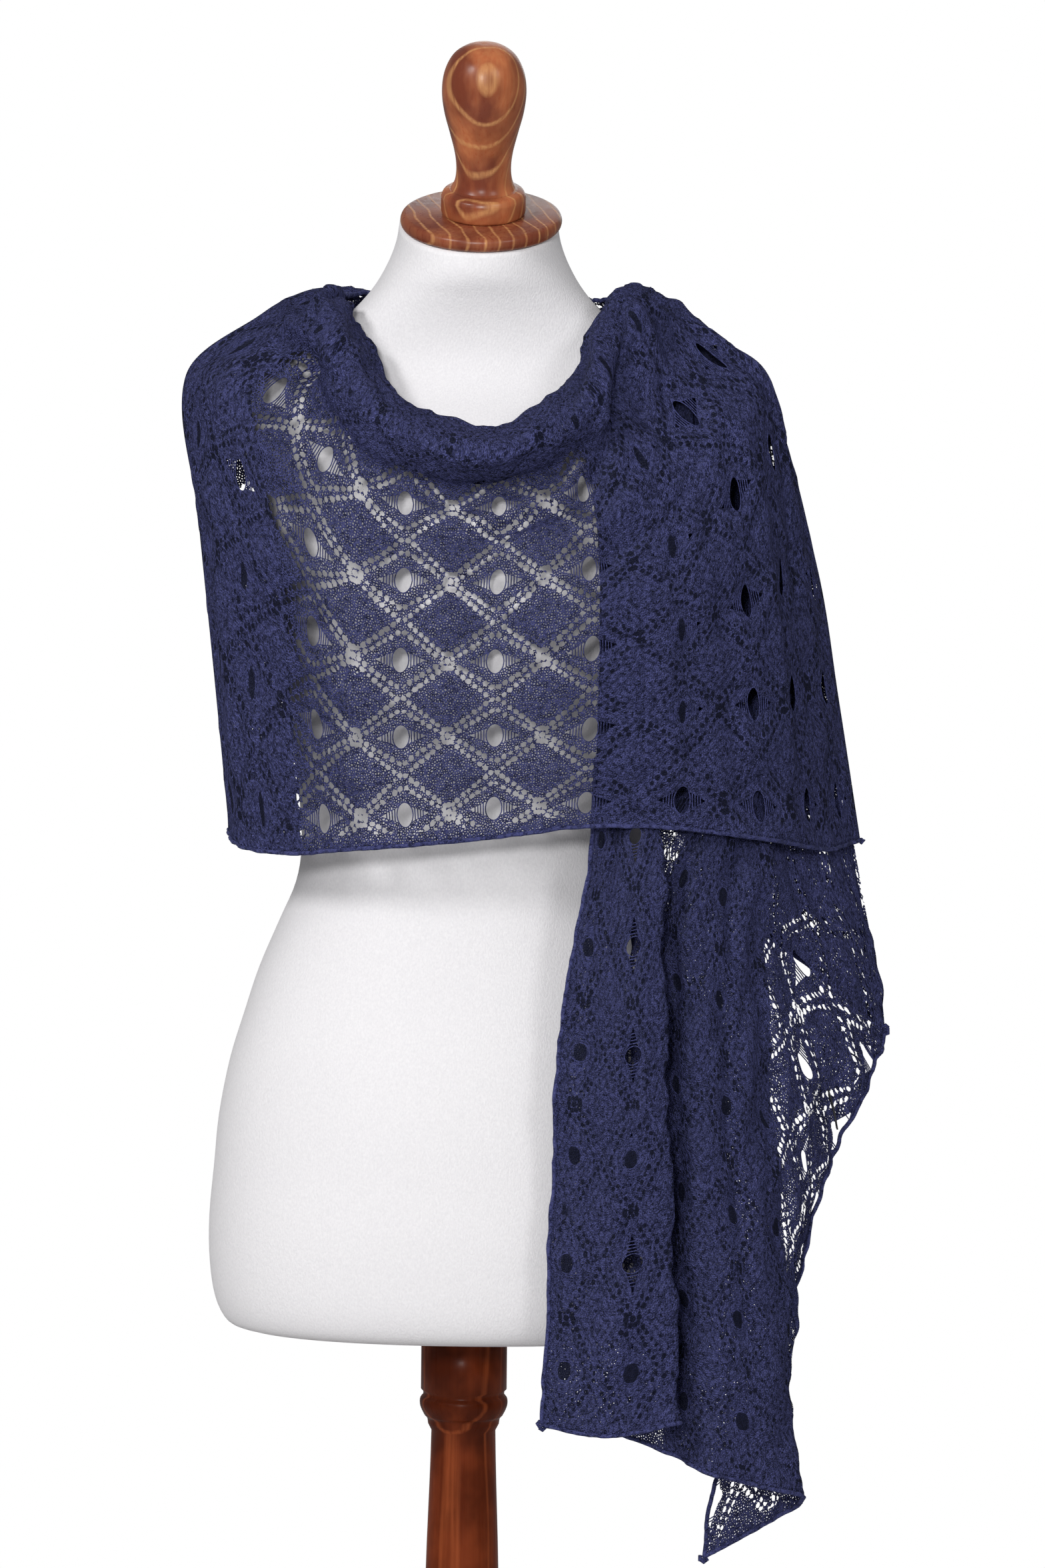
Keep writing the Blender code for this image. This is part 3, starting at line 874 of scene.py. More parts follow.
@dataclass
class Stretch:
    """One stretch of the shawl: its net, its lace and its folds.

    Lengths are in millimetres of flat cloth. The lace's own coordinates, turns along
    the stretch and shifts across it, count its repeats. Free edges meet no other
    stretch and roll. Crowded areas have closer stitches. Doubled ones, which stand for
    two layers, have closer stitches and their eyelets closed, with painted shade on the
    closed eyelets, in dark pits and in the grooves. Shut ones have their eyes drawn
    closed, with a dark slit of painted shade where the stitches are not crowded. The
    measured parts of the grid set how far its rows and columns lie apart when flat.
    """

    name: str
    node: str
    net: np.ndarray
    length: float
    first_eye: Pair
    pitch: Pair
    rests_on: tuple[str, ...]
    free: tuple[Edge, ...]
    folds: tuple[Fold, ...]
    crowded: tuple[Fold, ...] = ()
    doubled: tuple[Fold, ...] = ()
    shut: tuple[Fold, ...] = ()
    held: Held = Held.DRAPED
    rumple: float = 1.0
    from_far_edge: bool = True
    measured: Pair = (0.5, 1.0)
    measured_rows: Pair = (0.3, 0.6)
    width: float = 0.0
    chart: LaceChart = field(default_factory=LaceChart)
    step: float = 3.0
    wall: float = 0.45
    stray: Pair = (0.022, 0.03)
    seam_ease: float = 60.0
    seam_quiet: float = 14.0
    edge_crowd: float = 8.0
    edge_plain: float = 16.0
    places: np.ndarray = field(init=False)
    columns: np.ndarray = field(init=False)
    reached: np.ndarray = field(init=False)
    crossed: np.ndarray = field(init=False)
    grid: np.ndarray = field(init=False)
    along: np.ndarray = field(init=False)
    across: np.ndarray = field(init=False)
    turns: np.ndarray = field(init=False)
    shifts: np.ndarray = field(init=False)
    flipped: bool = field(init=False, default=False)

    def __post_init__(self) -> None:
        """Sample the smooth surface and the lace's own coordinates."""
        spread = np.linalg.norm(np.diff(self.net, axis=1), axis=2).mean(axis=0).sum() / MM
        self.places = np.linspace(0, 1, int(self.length / self.step) + 1)
        self.columns = np.linspace(0, 1, int(spread / self.step) + 1)
        self.grid = drape(self.net, self.places, self.columns)
        low, high = (int(part * (len(self.columns) - 1)) for part in self.measured)
        steps = np.linalg.norm(np.diff(self.grid, axis=0), axis=2)[:, low:high].mean(axis=1)
        self.reached = places_of(steps) * self.length
        low, high = (int(part * (len(self.places) - 1)) for part in self.measured_rows)
        steps = np.linalg.norm(np.diff(self.grid, axis=1), axis=2)[low:high].mean(axis=0)
        self.width = self.width or steps.sum() / MM
        self.crossed = places_of(steps) * self.width
        across = self.width - self.crossed if self.from_far_edge else self.crossed
        self.along, self.across = np.broadcast_arrays(self.reached[:, None], across[None, :])
        sway, bob = self.wander(self.along, self.across)
        self.turns = (self.along - self.first_eye[0]) / self.pitch[0] + 0.5 + sway
        self.shifts = (self.across - self.first_eye[1]) / self.pitch[1] + 0.5 + bob

    def wander(self, along: np.ndarray, across: np.ndarray) -> tuple[np.ndarray, np.ndarray]:
        """Return how far the lace strays from its even pitch.

        Args:
            along: Distances along the cloth.
            across: Distances up from its lower edge.

        Returns:
            The strays along and across, in repeats.
        """
        sway = np.sin(along / 41.0 + 2.0 * np.sin(across / 57.0))
        bob = np.sin(across / 37.0 + 2.0 * np.sin(along / 49.0))
        return self.stray[0] * sway, self.stray[1] * bob

    def meet(self, row: int, line: np.ndarray) -> None:
        """Bring one end row onto a seam, easing the change into the cloth.

        Args:
            row: 0 for the first row, -1 for the last.
            line: The seam, as a line of points.
        """
        change = along_line(line, self.columns) - self.grid[row]
        far = self.along if row == 0 else self.length - self.along
        ease = np.clip(1.0 - far / self.seam_ease, 0.0, 1.0)
        ease = ease * ease * (3.0 - 2.0 * ease)
        self.grid = self.grid + ease[:, :, None] * change[None, :, :]

    def marked(self, marks: Sequence[Fold]) -> np.ndarray:
        """Return how far each point lies in the marked areas.

        Args:
            marks: The areas.

        Returns:
            A share from 0 to 1 for each point.
        """
        found = np.zeros(self.along.shape)
        for mark in marks:
            found = np.maximum(found, mark.lift(self.along, self.across))
        return np.clip(found, 0.0, 1.0)

    def quiet(self) -> np.ndarray:
        """Ease the folds out at edges that meet another stretch.

        Returns:
            A share from 0 at such an edge to 1 inside the cloth.
        """
        ease, reach = np.ones(self.along.shape), self.seam_quiet
        if Edge.FIRST_ROW not in self.free:
            ease = ease * np.clip(self.along / reach, 0, 1)
        if Edge.LAST_ROW not in self.free:
            ease = ease * np.clip((self.length - self.along) / reach, 0, 1)
        return ease

    def work(self) -> None:
        """Press the folds, the lace's relief and the cloth's small rumples in."""
        normal = normals_of(self.grid)
        self.flipped = bool((normal * self.grid * (1.0, 1.0, 0.0)).sum() < 0)
        lift = self.chart.relief(self.turns, self.shifts)
        for fold in self.folds:
            lift = lift + fold.lift(self.along, self.across)
        a, b = self.along, self.across
        rumple = (
            np.sin(a / 4.1 + 1.7 * np.sin(b / 11.0))
            + np.sin(b / 3.7 + 2.1 * np.sin(a / 13.0) + 1.0)
            + 2.4 * np.sin(a / 15.0 - b / 27.0 + 1.3 * np.sin(b / 13.0))
        )
        lift = (lift + 0.42 * self.rumple * rumple) * self.quiet() * MM
        self.grid = self.grid + (-normal if self.flipped else normal) * lift[:, :, None]

    def facts(self) -> np.ndarray:
        """Say how the lace shows at each point.

        Returns:
            Shares for its open eyelets, crowding, second layer (painted shade in its holes) and
            open eyes.
        """
        edge = np.minimum(self.across, self.width - self.across)
        if Edge.FIRST_ROW in self.free:
            edge = np.minimum(edge, self.along)
        if Edge.LAST_ROW in self.free:
            edge = np.minimum(edge, self.length - self.along)
        crowd = np.clip(1.0 - edge / self.edge_crowd, 0.0, 1.0) * 0.6
        for fold in self.crowded:
            crowd = crowd + fold.lift(self.along, self.across)
        gate = np.clip(edge / self.edge_plain, 0.0, 1.0)
        double, opened = self.marked(self.doubled), 1.0 - self.marked(self.shut)
        return np.stack([gate, np.clip(crowd, 0.0, 1.0), double, opened], axis=-1)

    def cloth(self, finish: bpy.types.Material) -> bpy.types.Object:
        """Build the cloth as a thin shell with its eyes left out.

        Args:
            finish: The lace's material.

        Returns:
            The piece.
        """
        left_out = self.chart.in_eye(self.turns, self.shifts) & (self.marked(self.shut) < 0.4)
        left_out = left_out.ravel().tolist()
        faces = [
            face if self.flipped else face[::-1] for face in grid_faces(*self.grid.shape[:2])
            if not all(left_out[corner] for corner in face)
        ]
        made = link_mesh(self.name, self.grid, [], faces, finish)
        mesh = made.data
        uv = np.stack([self.turns, self.shifts], axis=-1).reshape(-1, 2)
        loops = np.empty(len(mesh.loops), dtype=np.int32)
        mesh.loops.foreach_get("vertex_index", loops)
        mesh.uv_layers.new(name="lace").data.foreach_set("uv", uv[loops].ravel())
        facts = mesh.attributes.new("cloth_facts", "FLOAT_COLOR", "POINT")
        facts.data.foreach_set("color", self.facts().astype(np.float32).ravel())
        thicken(made, self.wall)
        return made

    def at(self, turn: float, shift: float) -> Optional[np.ndarray]:
        """Return the point of the worked cloth at a place of the lace.

        Args:
            turn: The place along the lace, in repeats.
            shift: The place across it, in repeats.

        Returns:
            The point, or None outside the cloth.
        """
        along = base_along = (turn - 0.5) * self.pitch[0] + self.first_eye[0]
        across = base_across = (shift - 0.5) * self.pitch[1] + self.first_eye[1]
        for _ in range(4):
            sway, bob = self.wander(along, across)
            along, across = base_along - sway * self.pitch[0], base_across - bob * self.pitch[1]
        if self.from_far_edge:
            across = self.width - across
        if not (0 <= along <= self.length and 0 <= across <= self.width):
            return None
        i = float(np.interp(along, self.reached, np.arange(len(self.reached))))
        j = float(np.interp(across, self.crossed, np.arange(len(self.crossed))))
        i0 = min(int(i), self.grid.shape[0] - 2)
        j0 = min(int(j), self.grid.shape[1] - 2)
        s, t = i - i0, j - j0
        near, far = self.grid[i0, j0:j0 + 2], self.grid[i0 + 1, j0:j0 + 2]
        low, high = near * (1 - s) + far * s
        return low * (1 - t) + high * t

    def placed(self, places: Sequence[Pair]) -> Optional[np.ndarray]:
        """Return the cloth's points at places in repeats, or None where one is outside."""
        points = [self.at(*place) for place in places]
        return None if any(p is None for p in points) else np.array(points)

    def yarns(self, laying: YarnLaying, yarn: bpy.types.Material) -> bpy.types.Object:
        """Lay the rims of the eyes and the bars of the ladders.

        Args:
            laying: The tree that lays yarn.
            yarn: Its material.

        Returns:
            The piece.
        """
        chart, lines = self.chart, []
        turns, shifts = (
            range(int(np.floor(part.min())), int(np.ceil(part.max())))
            for part in (self.turns, self.shifts)
        )
        half_long, half_wide = (1.05 * size for size in chart.eye)
        for turn, shift, side in (
            (i + 0.5, j + 0.5, side) for i in turns for j in shifts for side in (-1.0, 1.0)
        ):
            angles = [math.pi * k / 8 for k in range(9)]
            lines.append(self.placed([
                (turn + side * half_long * math.sin(angle) / chart.long,
                 shift + half_wide * math.cos(angle) / chart.wide) for angle in angles
            ]))
            for bar in chart.bars:
                half = chart.bar_reach(bar) / chart.wide
                place = turn + side * bar / chart.long
                ends = [(place, shift + half * t) for t in (-1, -0.4, 0.4, 1)]
                lines.append(self.placed(ends))
        return laying.lay(
            f"{self.name}_yarns", [line for line in lines if line is not None], yarn,
            Radius=0.4 * MM, Sides=5, Spacing=1.8 * MM, Unevenness=0.35 * MM,
        )

    def nub(self, corner: np.ndarray, outward: np.ndarray) -> np.ndarray:
        """Return the short curl of yarn where a rolled edge ends at a corner.

        Args:
            corner: The corner's point.
            outward: The direction in which the roll ends.

        Returns:
            The curl's line.
        """
        ahead = outward / max(np.linalg.norm(outward), 1e-9)
        aside = np.cross(ahead, (0.0, 1.0, 0.0))
        reach = 2.2 * MM
        return np.array([
            corner + ahead * reach * (1 - math.cos(t)) * 0.8 + aside * reach * math.sin(t)
            for t in np.linspace(0, 1.5 * math.pi, 9)
        ])

    def rolls(
        self, laying: YarnLaying, yarn: bpy.types.Material, extra: Sequence[np.ndarray]
    ) -> bpy.types.Object:
        """Lay the rolled hems and selvedges.

        Args:
            laying: The tree that lays yarn.
            yarn: Its material.
            extra: Lines that roll besides the free edges.

        Returns:
            The piece.
        """
        edges = {
            Edge.FIRST_ROW: self.grid[0], Edge.LAST_ROW: self.grid[-1],
            Edge.FIRST_COLUMN: self.grid[:, 0], Edge.LAST_COLUMN: self.grid[:, -1],
        }
        lines = [edges[edge] for edge in self.free] + list(extra)
        nubs = [self.nub(line[end], line[end] - line[inner]) for line in lines
                for end, inner in ((0, 2), (-1, -3))]
        return laying.lay(
            f"{self.name}_rolls", lines + nubs, yarn,
            Radius=1.5 * MM, Sides=8, Spacing=2.6 * MM, Unevenness=1.3 * MM,
        )


# Control nets in millimetres. A row crosses its stretch: from the neck down to the
# lower edge on the cross and the back, and from the front edge round the pleats to the
# outer edge on the hanging end, whose first row is its bottom.
CROSS_ROWS: Net = (
    ((-90, 0, 1441), (-103, 0, 1446), (-122, 0, 1441), (-143, 0, 1429),
     (-194, 0, 1387), (-185, 0, 1292), (-174, 0, 1190), (-163, 0, 1084)),
    ((-84, -33, 1430), (-91, -39, 1437), (-108, -47, 1431), (-124, -41, 1413),
     (-166, -54, 1370), (-168, -64, 1285), (-160, -68, 1185), (-150, -62, 1077)),
    ((-66, -52, 1396), (-71, -62, 1406), (-88, -86, 1396), (-101, -78, 1369),
     (-125, -100, 1325), (-125, -114, 1250), (-120, -112, 1165), (-112, -100, 1077)),
    ((-48, -84, 1352), (-50, -90, 1377), (-60, -120, 1361), (-70, -110, 1333),
     (-78, -126, 1285), (-78, -139, 1222), (-76, -133, 1150), (-72, -122, 1082)),
    ((-24, -98, 1325), (-26, -104, 1363), (-28, -136, 1345), (-30, -116, 1319),
     (-30, -124, 1280), (-30, -137, 1218), (-29, -134, 1150), (-28, -126, 1086)),
    ((16, -99, 1320), (16, -106, 1357), (18, -138, 1339), (18, -116, 1318),
     (20, -124, 1280), (20, -137, 1218), (20, -135, 1152), (19, -127, 1091)),
    ((46, -88, 1346), (50, -96, 1376), (60, -126, 1359), (64, -114, 1334),
     (70, -128, 1288), (72, -140, 1224), (71, -135, 1156), (70, -126, 1098)),
    ((66, -66, 1386), (69, -74, 1399), (84, -104, 1389), (93, -98, 1356),
     (118, -116, 1305), (128, -126, 1235), (130, -124, 1165), (132, -116, 1097)),
    ((83, -36, 1426), (88, -42, 1436), (106, -58, 1430), (121, -60, 1388),
     (166, -72, 1348), (182, -80, 1260), (190, -82, 1170), (194, -78, 1087)),
    ((92, -6, 1444), (102, -6, 1450), (120, -12, 1443), (139, -18, 1428),
     (191, -20, 1380), (208, -16, 1282), (222, -15, 1175), (236, -13, 1076)),
    ((98, 16, 1446), (107, 18, 1449), (124, 22, 1441), (143, 25, 1428),
     (196, 33, 1372), (230, 48, 1264), (246.5, 50, 1172), (262, 47, 1078)),
)

BACK_ROWS: Net = (
    ((-90, 0, 1441), (-103, 0, 1446), (-122, 0, 1441), (-143, 0, 1429),
     (-194, 0, 1387), (-185, 0, 1292), (-174, 0, 1190), (-163, 0, 1084)),
    ((-80, 36, 1442), (-90, 42, 1446), (-108, 50, 1438), (-128, 56, 1418),
     (-168, 58, 1370), (-172, 60, 1285), (-163, 62, 1186), (-152, 58, 1082)),
    ((-50, 58, 1440), (-56, 68, 1443), (-66, 79, 1431), (-78, 87, 1404),
     (-104, 102, 1355), (-112, 107, 1275), (-108, 104, 1180), (-102, 99, 1079)),
    ((0, 65, 1438), (0, 76, 1442), (0, 88, 1429), (0, 96, 1400),
     (0, 110, 1350), (0, 115, 1272), (0, 112, 1175), (0, 109, 1072)),
    ((48, 58, 1440), (54, 67, 1443), (62, 77, 1431), (72, 86, 1404),
     (94, 102, 1352), (105, 110, 1270), (110, 111, 1165), (112, 108, 1052)),
    ((84, 36, 1439), (90, 42, 1440), (102, 51, 1428), (118, 59, 1404),
     (150, 74, 1352), (178, 84, 1255), (190, 86, 1140), (198, 82, 1011)),
    ((99, 8, 1439), (108, 9, 1435), (122, 10, 1427), (142, 12, 1415),
     (187, 19, 1375), (222, 45, 1262), (252, 47, 1098), (280.5, 50, 951)),
)

END_ROWS: Net = (
    ((51, -124, 706), (93, -142, 702), (137, -140, 711), (122, -119, 705),
     (98, -103, 699), (128, -101, 687), (160, -128, 676), (195, -122, 666),
     (220.5, -99, 655), (201, -74, 634), (159, -60, 607)),
    ((53, -123, 766), (94, -142, 763), (134, -139, 771), (120, -118, 765),
     (98, -103, 759), (128, -100, 747), (162, -127, 735), (193, -120, 725),
     (214, -97, 716), (198, -75, 694), (168, -58, 665)),
    ((55, -122, 838), (95, -141, 836), (131, -138, 843), (118, -117, 837),
     (98, -103, 831), (126, -100, 819), (158, -124, 807), (189, -117, 797),
     (210, -95, 788), (209, -76, 762), (197, -55, 732)),
    ((57, -121, 899), (95, -140, 897), (129, -137, 904), (117, -117, 898),
     (99, -104, 892), (124, -100, 880), (154, -121, 868), (183, -113, 858),
     (204, -93, 849), (217, -72, 820), (219, -50, 788)),
    ((60, -119, 966), (96, -137, 964), (126, -135, 971), (116, -116, 965),
     (101, -104, 959), (122, -99, 947), (151, -117, 935), (177, -108, 925),
     (196, -91, 916), (224, -64, 884), (234, -40, 852)),
    ((69, -116, 1021), (98, -130, 1020), (124.5, -130, 1026), (116, -115, 1020),
     (103, -104, 1014), (122, -98, 1002), (149, -112, 990), (175, -104, 980),
     (192.5, -88, 971), (222, -58, 936), (249, 0, 882)),
    ((77, -112, 1071), (99, -120, 1071), (123, -120, 1076), (117, -111, 1070),
     (106, -101, 1064), (123, -101, 1052), (149, -105, 1040), (173, -98, 1030),
     (190, -84, 1021), (218, -50, 990), (268, 35, 916)),
    ((81, -106, 1140), (99, -107, 1142), (119, -105, 1145), (130, -101, 1140),
     (140, -97, 1132), (151, -94, 1124), (164, -90, 1115), (181, -82, 1105),
     (195, -70, 1097), (227, -20, 1045), (280.5, 49.5, 951)),
    ((82, -100, 1210), (99, -97, 1212), (118, -93, 1214), (132, -87, 1210),
     (144, -81, 1205), (156, -75, 1200), (168, -69, 1194), (183, -60, 1186),
     (197, -47, 1176), (223, -4, 1130), (264, 47.5, 1043)),
    ((83, -93, 1290), (98, -87, 1292), (114, -78, 1294), (128, -70, 1292),
     (140, -63, 1288), (151, -57, 1284), (162, -50, 1280), (175, -41, 1272),
     (188, -29, 1262), (207, 5, 1226), (237.5, 46.5, 1178)),
    ((88, -72, 1360), (99, -69, 1361), (111, -66, 1361), (121, -62, 1359),
     (131, -58, 1356), (141, -53, 1352), (151, -48, 1347), (163, -40, 1341),
     (174, -29, 1334), (191, 4, 1306), (222, 44.5, 1262)),
    ((98, -34, 1418), (106, -34, 1415), (115, -33, 1411), (123, -32, 1407),
     (131, -31, 1402), (140, -29, 1397), (149, -27, 1391), (161, -23, 1383),
     (173, -17, 1371), (186, 6, 1348), (202, 37, 1322)),
    ((100, 8, 1438.5), (108, 9, 1435), (117, 9.5, 1430), (126, 10, 1425),
     (134, 11, 1420), (143, 12, 1414.5), (152, 13, 1408.5), (163, 14.5, 1400),
     (174, 16, 1389.5), (184, 18, 1378), (190, 24, 1364)),
)

# The thrown end's rows, laid over the back: the place along the back, where the row
# starts and ends across it, and how far out it lies in millimetres.
THROWN_ROWS: tuple[tuple[float, float, float, float], ...] = (
    (0.90, 0.04, 0.80, 9.5),
    (0.80, 0.10, 0.86, 10.5),
    (0.70, 0.20, 0.92, 11.0),
    (0.62, 0.32, 0.94, 11.0),
)


@dataclass
class Shawl:
    """The whole shawl: four stretches of one lace, their hems and the bare tag."""

    tag_size: Triple = (24.0, 14.0, 1.0)
    tag_points: tuple[int, int] = (13, 9)
    tag_gap: float = 1.5
    tag_margin: float = 3.0
    tag_reach: float = 18.0
    tucked_share: float = 0.56
    yarn: HeatherYarn = field(default_factory=HeatherYarn)

    def thrown_net(self) -> np.ndarray:
        """Lay the thrown end's net over the back stretch.

        Returns:
            The net's points in metres.
        """
        back, step = metres(BACK_ROWS), 0.01
        rows = [metres(CROSS_ROWS)[-1]]
        for place, start, end, out in THROWN_ROWS:
            across = np.linspace(start, end, len(CROSS_ROWS[-1]))
            grid = drape(back, [place - step, place, place + step], across)
            rows.append(grid[1] + normals_of(grid)[1] * out * MM)
        return np.array(rows)

    def cross(self) -> Stretch:
        """Set out the stretch across the chest, with its rolled top and soft folds.

        Returns:
            The stretch.
        """
        folds = (
            Fold(((95, 240), (200, 236), (300, 238), (420, 262)), 7, -6.0),
            Fold(((60, 285), (150, 275), (250, 272), (350, 276), (450, 300)), 11, 5.0),
            Fold(((20, 335), (80, 318), (170, 305), (260, 300)), 5, -3.0),
            Fold(((120, 320), (220, 322), (330, 318), (430, 330)), 6, 2.5),
            Fold(((110, 300), (160, 286), (220, 262)), 5, -2.6),
            Fold(((280, 262), (350, 290), (400, 326)), 5, -2.8),
            Fold(((250, 214), (300, 226), (345, 250), (400, 300)), 8, 5.0),
            Fold(((262, 206), (312, 216), (362, 236), (425, 282)), 5, -4.0),
            Fold(((215, 180), (290, 204), (380, 232)), 8, 3.0),
            Fold(((300, 192), (360, 206), (430, 244)), 8, 4.5),
            Fold(((330, 178), (390, 190), (455, 222)), 5, -3.5),
            Fold(((235, 198), (310, 216), (370, 250)), 6, -3.0),
            Fold(((424, -4), (456, 8)), 17, 4.0),
            Fold(((28, 345), (58, 292), (95, 240)), 6, -6.0),
            Fold(((52, 345), (84, 298), (128, 256)), 9, 4.5),
            Fold(((55, 250), (95, 262), (130, 290)), 8, 5.0),
            Fold(((60, 236), (100, 246), (140, 268)), 5, -4.5),
            Fold(((20, 225), (70, 205), (130, 200)), 9, 2.5),
            Fold(((15, 150), (60, 140), (110, 138)), 8, 2.0),
            Fold(((350, 260), (365, 150), (372, 30)), 10, 3.0),
            Fold(((395, 270), (410, 160), (418, 20)), 9, -3.0),
            Fold(((440, 290), (455, 180), (470, 40)), 9, 3.0),
            Fold(((490, 310), (510, 200), (520, 60)), 8, -2.6),
            Fold(((400, 335), (450, 300), (510, 230), (540, 120)), 10, 3.5),
            Fold(((470, 340), (515, 300), (550, 230)), 7, -3.0),
            Fold(((10, 330), (45, 300), (85, 262)), 8, 4.5),
            Fold(((0, 300), (30, 285), (60, 255)), 6, -3.0),
            Fold(((150, 110), (250, 118), (330, 132)), 8, 1.8),
            Fold(((180, 62), (260, 66), (320, 60)), 8, -1.6),
        )
        return Stretch(
            "shawl_cross", "shawl_front_cross", metres(CROSS_ROWS), 577.0, (33.8, 18.0),
            (57.2, 51.0), ("form_torso", "shawl_end"), (Edge.LAST_COLUMN,), folds,
            crowded=(Fold(((60, 300), (240, 290), (420, 310)), 50, 0.6),),
            # Doubled areas get painted shade in their holes; shut areas get painted dark slits.
            doubled=(
                Fold(((40, -10), (40, 130)), 107), Fold(((10, 150), (10, 230)), 80),
                Fold(((475, -20), (475, 380)), 180), Fold(((-20, 330), (600, 330)), 102),
            ),
            shut=(
                Fold(((70, 300), (500, 300)), 66), Fold(((376, 60), (376, 240)), 16),
                Fold(((34, 0), (34, 230)), 30), Fold(((91, 0), (91, 130)), 30),
            ),
        )

    def back(self) -> Stretch:
        """Set out the stretch across the back.

        Returns:
            The stretch.
        """
        folds = (
            Fold(((40, 340), (150, 300), (290, 250), (420, 150)), 12, 3.2),
            Fold(((60, 300), (170, 262), (300, 190), (400, 90)), 12, -2.6),
            Fold(((120, 230), (240, 170), (360, 60)), 11, 2.6),
            Fold(((300, 350), (400, 280), (480, 170)), 10, 3.0),
            Fold(((60, 180), (160, 130), (260, 50)), 11, 2.2),
            Fold(((60, 360), (180, 352), (340, 356)), 7, 2.4),
        )
        return Stretch(
            "shawl_back_drape", "shawl_back", metres(BACK_ROWS), 520.0, (45.0, 18.0),
            (64.0, 51.0), ("form_torso",), (Edge.FIRST_COLUMN, Edge.LAST_COLUMN), folds,
            crowded=(
                Fold(((0, 0), (0, 330)), 30, 0.7), Fold(((60, 370), (460, 370)), 24, 0.8),
            ),
        )

    def hanging_end(self) -> Stretch:
        """Set out the end that hangs in pleats down the front.

        Returns:
            The stretch.
        """
        folds = (
            Fold(((40, 60), (250, 50), (420, 70)), 8, 1.8),
            Fold(((20, 30), (260, 26), (430, 40)), 6, -1.6),
            Fold(((60, 210), (260, 216), (420, 230)), 7, 2.0),
            Fold(((30, 262), (240, 256), (400, 268)), 8, -2.0),
            Fold(((120, 330), (300, 318), (430, 300)), 10, 2.2),
            Fold(((300, 400), (420, 372), (560, 330)), 12, 2.8),
            Fold(((330, 350), (460, 320), (600, 280)), 11, -2.2),
            Fold(((0, 90), (60, 100), (140, 92)), 9, 1.4),
            Fold(((10, 10), (160, 16), (330, 8)), 5, 2.2),
            Fold(((60, 38), (220, 46), (390, 36)), 5, -2.4),
            Fold(((150, 78), (300, 72), (420, 80)), 5, 2.4),
            Fold(((0, 168), (180, 174), (380, 168)), 5, -2.4),
            Fold(((20, 214), (200, 222), (420, 212)), 6, 2.6),
            Fold(((100, 262), (260, 254), (420, 266)), 6, -2.6),
            Fold(((0, 318), (120, 330), (260, 345)), 9, 2.6),
            Fold(((80, 360), (200, 366), (330, 376)), 9, -2.4),
            Fold(((404, 266), (426, 312)), 16, -4.0),
        )
        return Stretch(
            "shawl_end", "shawl_end_front", metres(END_ROWS), 749.0, (38.0, 16.0),
            (67.0, 47.5), ("form_torso",), (Edge.FIRST_ROW,), folds,
            crowded=(
                Fold(((260, 345), (700, 350)), 90, 0.6), Fold(((90, 170), (300, 176)), 40, 0.4),
                Fold(((10, 400), (60, 300)), 70, 0.6), Fold(((470, 320), (600, 330)), 70, 0.4),
            ),
            # Doubled areas get painted shade in their holes; shut areas get painted dark slits.
            doubled=(
                Fold(((0, 40), (749, 40)), 72), Fold(((0, 248), (749, 248)), 72),
                Fold(((640, 0), (640, 300)), 110), Fold(((560, 0), (560, 200)), 200),
            ),
            shut=(
                Fold(((0, 10), (749, 10)), 30), Fold(((0, 248), (749, 248)), 80),
                Fold(((38, 56), (38, 70)), 18), Fold(((172, 56), (172, 70)), 18),
                Fold(((450, 340), (560, 340)), 90),
            ),
            held=Held.HUNG, rumple=1.6, from_far_edge=False, measured=(0.0, 0.5),
            measured_rows=(0.0, 0.4), width=400.0,
            # Here the shut eyes' painted shade is a large, nearly round dark spot.
            chart=LaceChart(slit=(6.0, 5.2), state="hanging"),
        )

    def thrown_end(self) -> Stretch:
        """Set out the end that is thrown onto the back.

        Returns:
            The stretch.
        """
        folds = (
            Fold(((0, 250), (90, 240), (190, 260)), 10, 1.8),
            Fold(((0, 130), (90, 140), (190, 130)), 10, -1.6),
        )
        return Stretch(
            "shawl_thrown", "shawl_end_back", self.thrown_net(), 195.0, (45.0, 18.0),
            (64.0, 51.0), ("shawl_back_drape",),
            (Edge.LAST_ROW, Edge.FIRST_COLUMN, Edge.LAST_COLUMN), folds, rumple=0.7,
        )

    def tag(self, end: Stretch) -> bpy.types.Object:
        """Build the bare tag on the hanging end, clear of the cloth's own points.

        Args:
            end: The stretch that carries it.

        Returns:
            The piece.
        """
        low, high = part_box("shawl_label")
        middle = (Vector(low) + Vector(high)) / 2
        far = np.linalg.norm(end.grid - np.array(middle), axis=2)
        i, j = np.unravel_index(int(np.argmin(far)), far.shape)
        up = Vector(end.grid[i + 2, j] - end.grid[i - 2, j]).normalized()
        out = (middle - Vector(end.grid[i, j])).normalized()
        side = out.cross(up).normalized()
        up = side.cross(out).normalized()
        long, wide, wall = self.tag_size
        spread = end.grid.reshape(-1, 3) - np.array(middle)
        under = (
            (np.abs(spread @ np.array(up)) < (long / 2 + self.tag_margin) * MM)
            & (np.abs(spread @ np.array(side)) < (wide / 2 + self.tag_margin) * MM)
            & (np.linalg.norm(spread, axis=1) < self.tag_reach * MM)
        )
        highest = float((spread[under] @ np.array(out)).max())
        middle = middle + out * max(0.0, highest + self.tag_gap * MM)
        rows, columns = self.tag_points
        points = []
        for s in np.linspace(-0.5, 0.5, rows):
            for t in np.linspace(-0.5, 0.5, columns):
                bow = 0.5 * math.cos(math.pi * s) - 0.3 + 0.25 * math.sin(7 * t)
                points.append(middle + (up * (s * long) + side * (t * wide) + out * bow) * MM)
        faces = grid_faces(rows, columns)
        made = link_mesh("shawl_tag", points, [], faces, WovenTape().material())
        thicken(made, wall)
        made_plain(made)
        return made

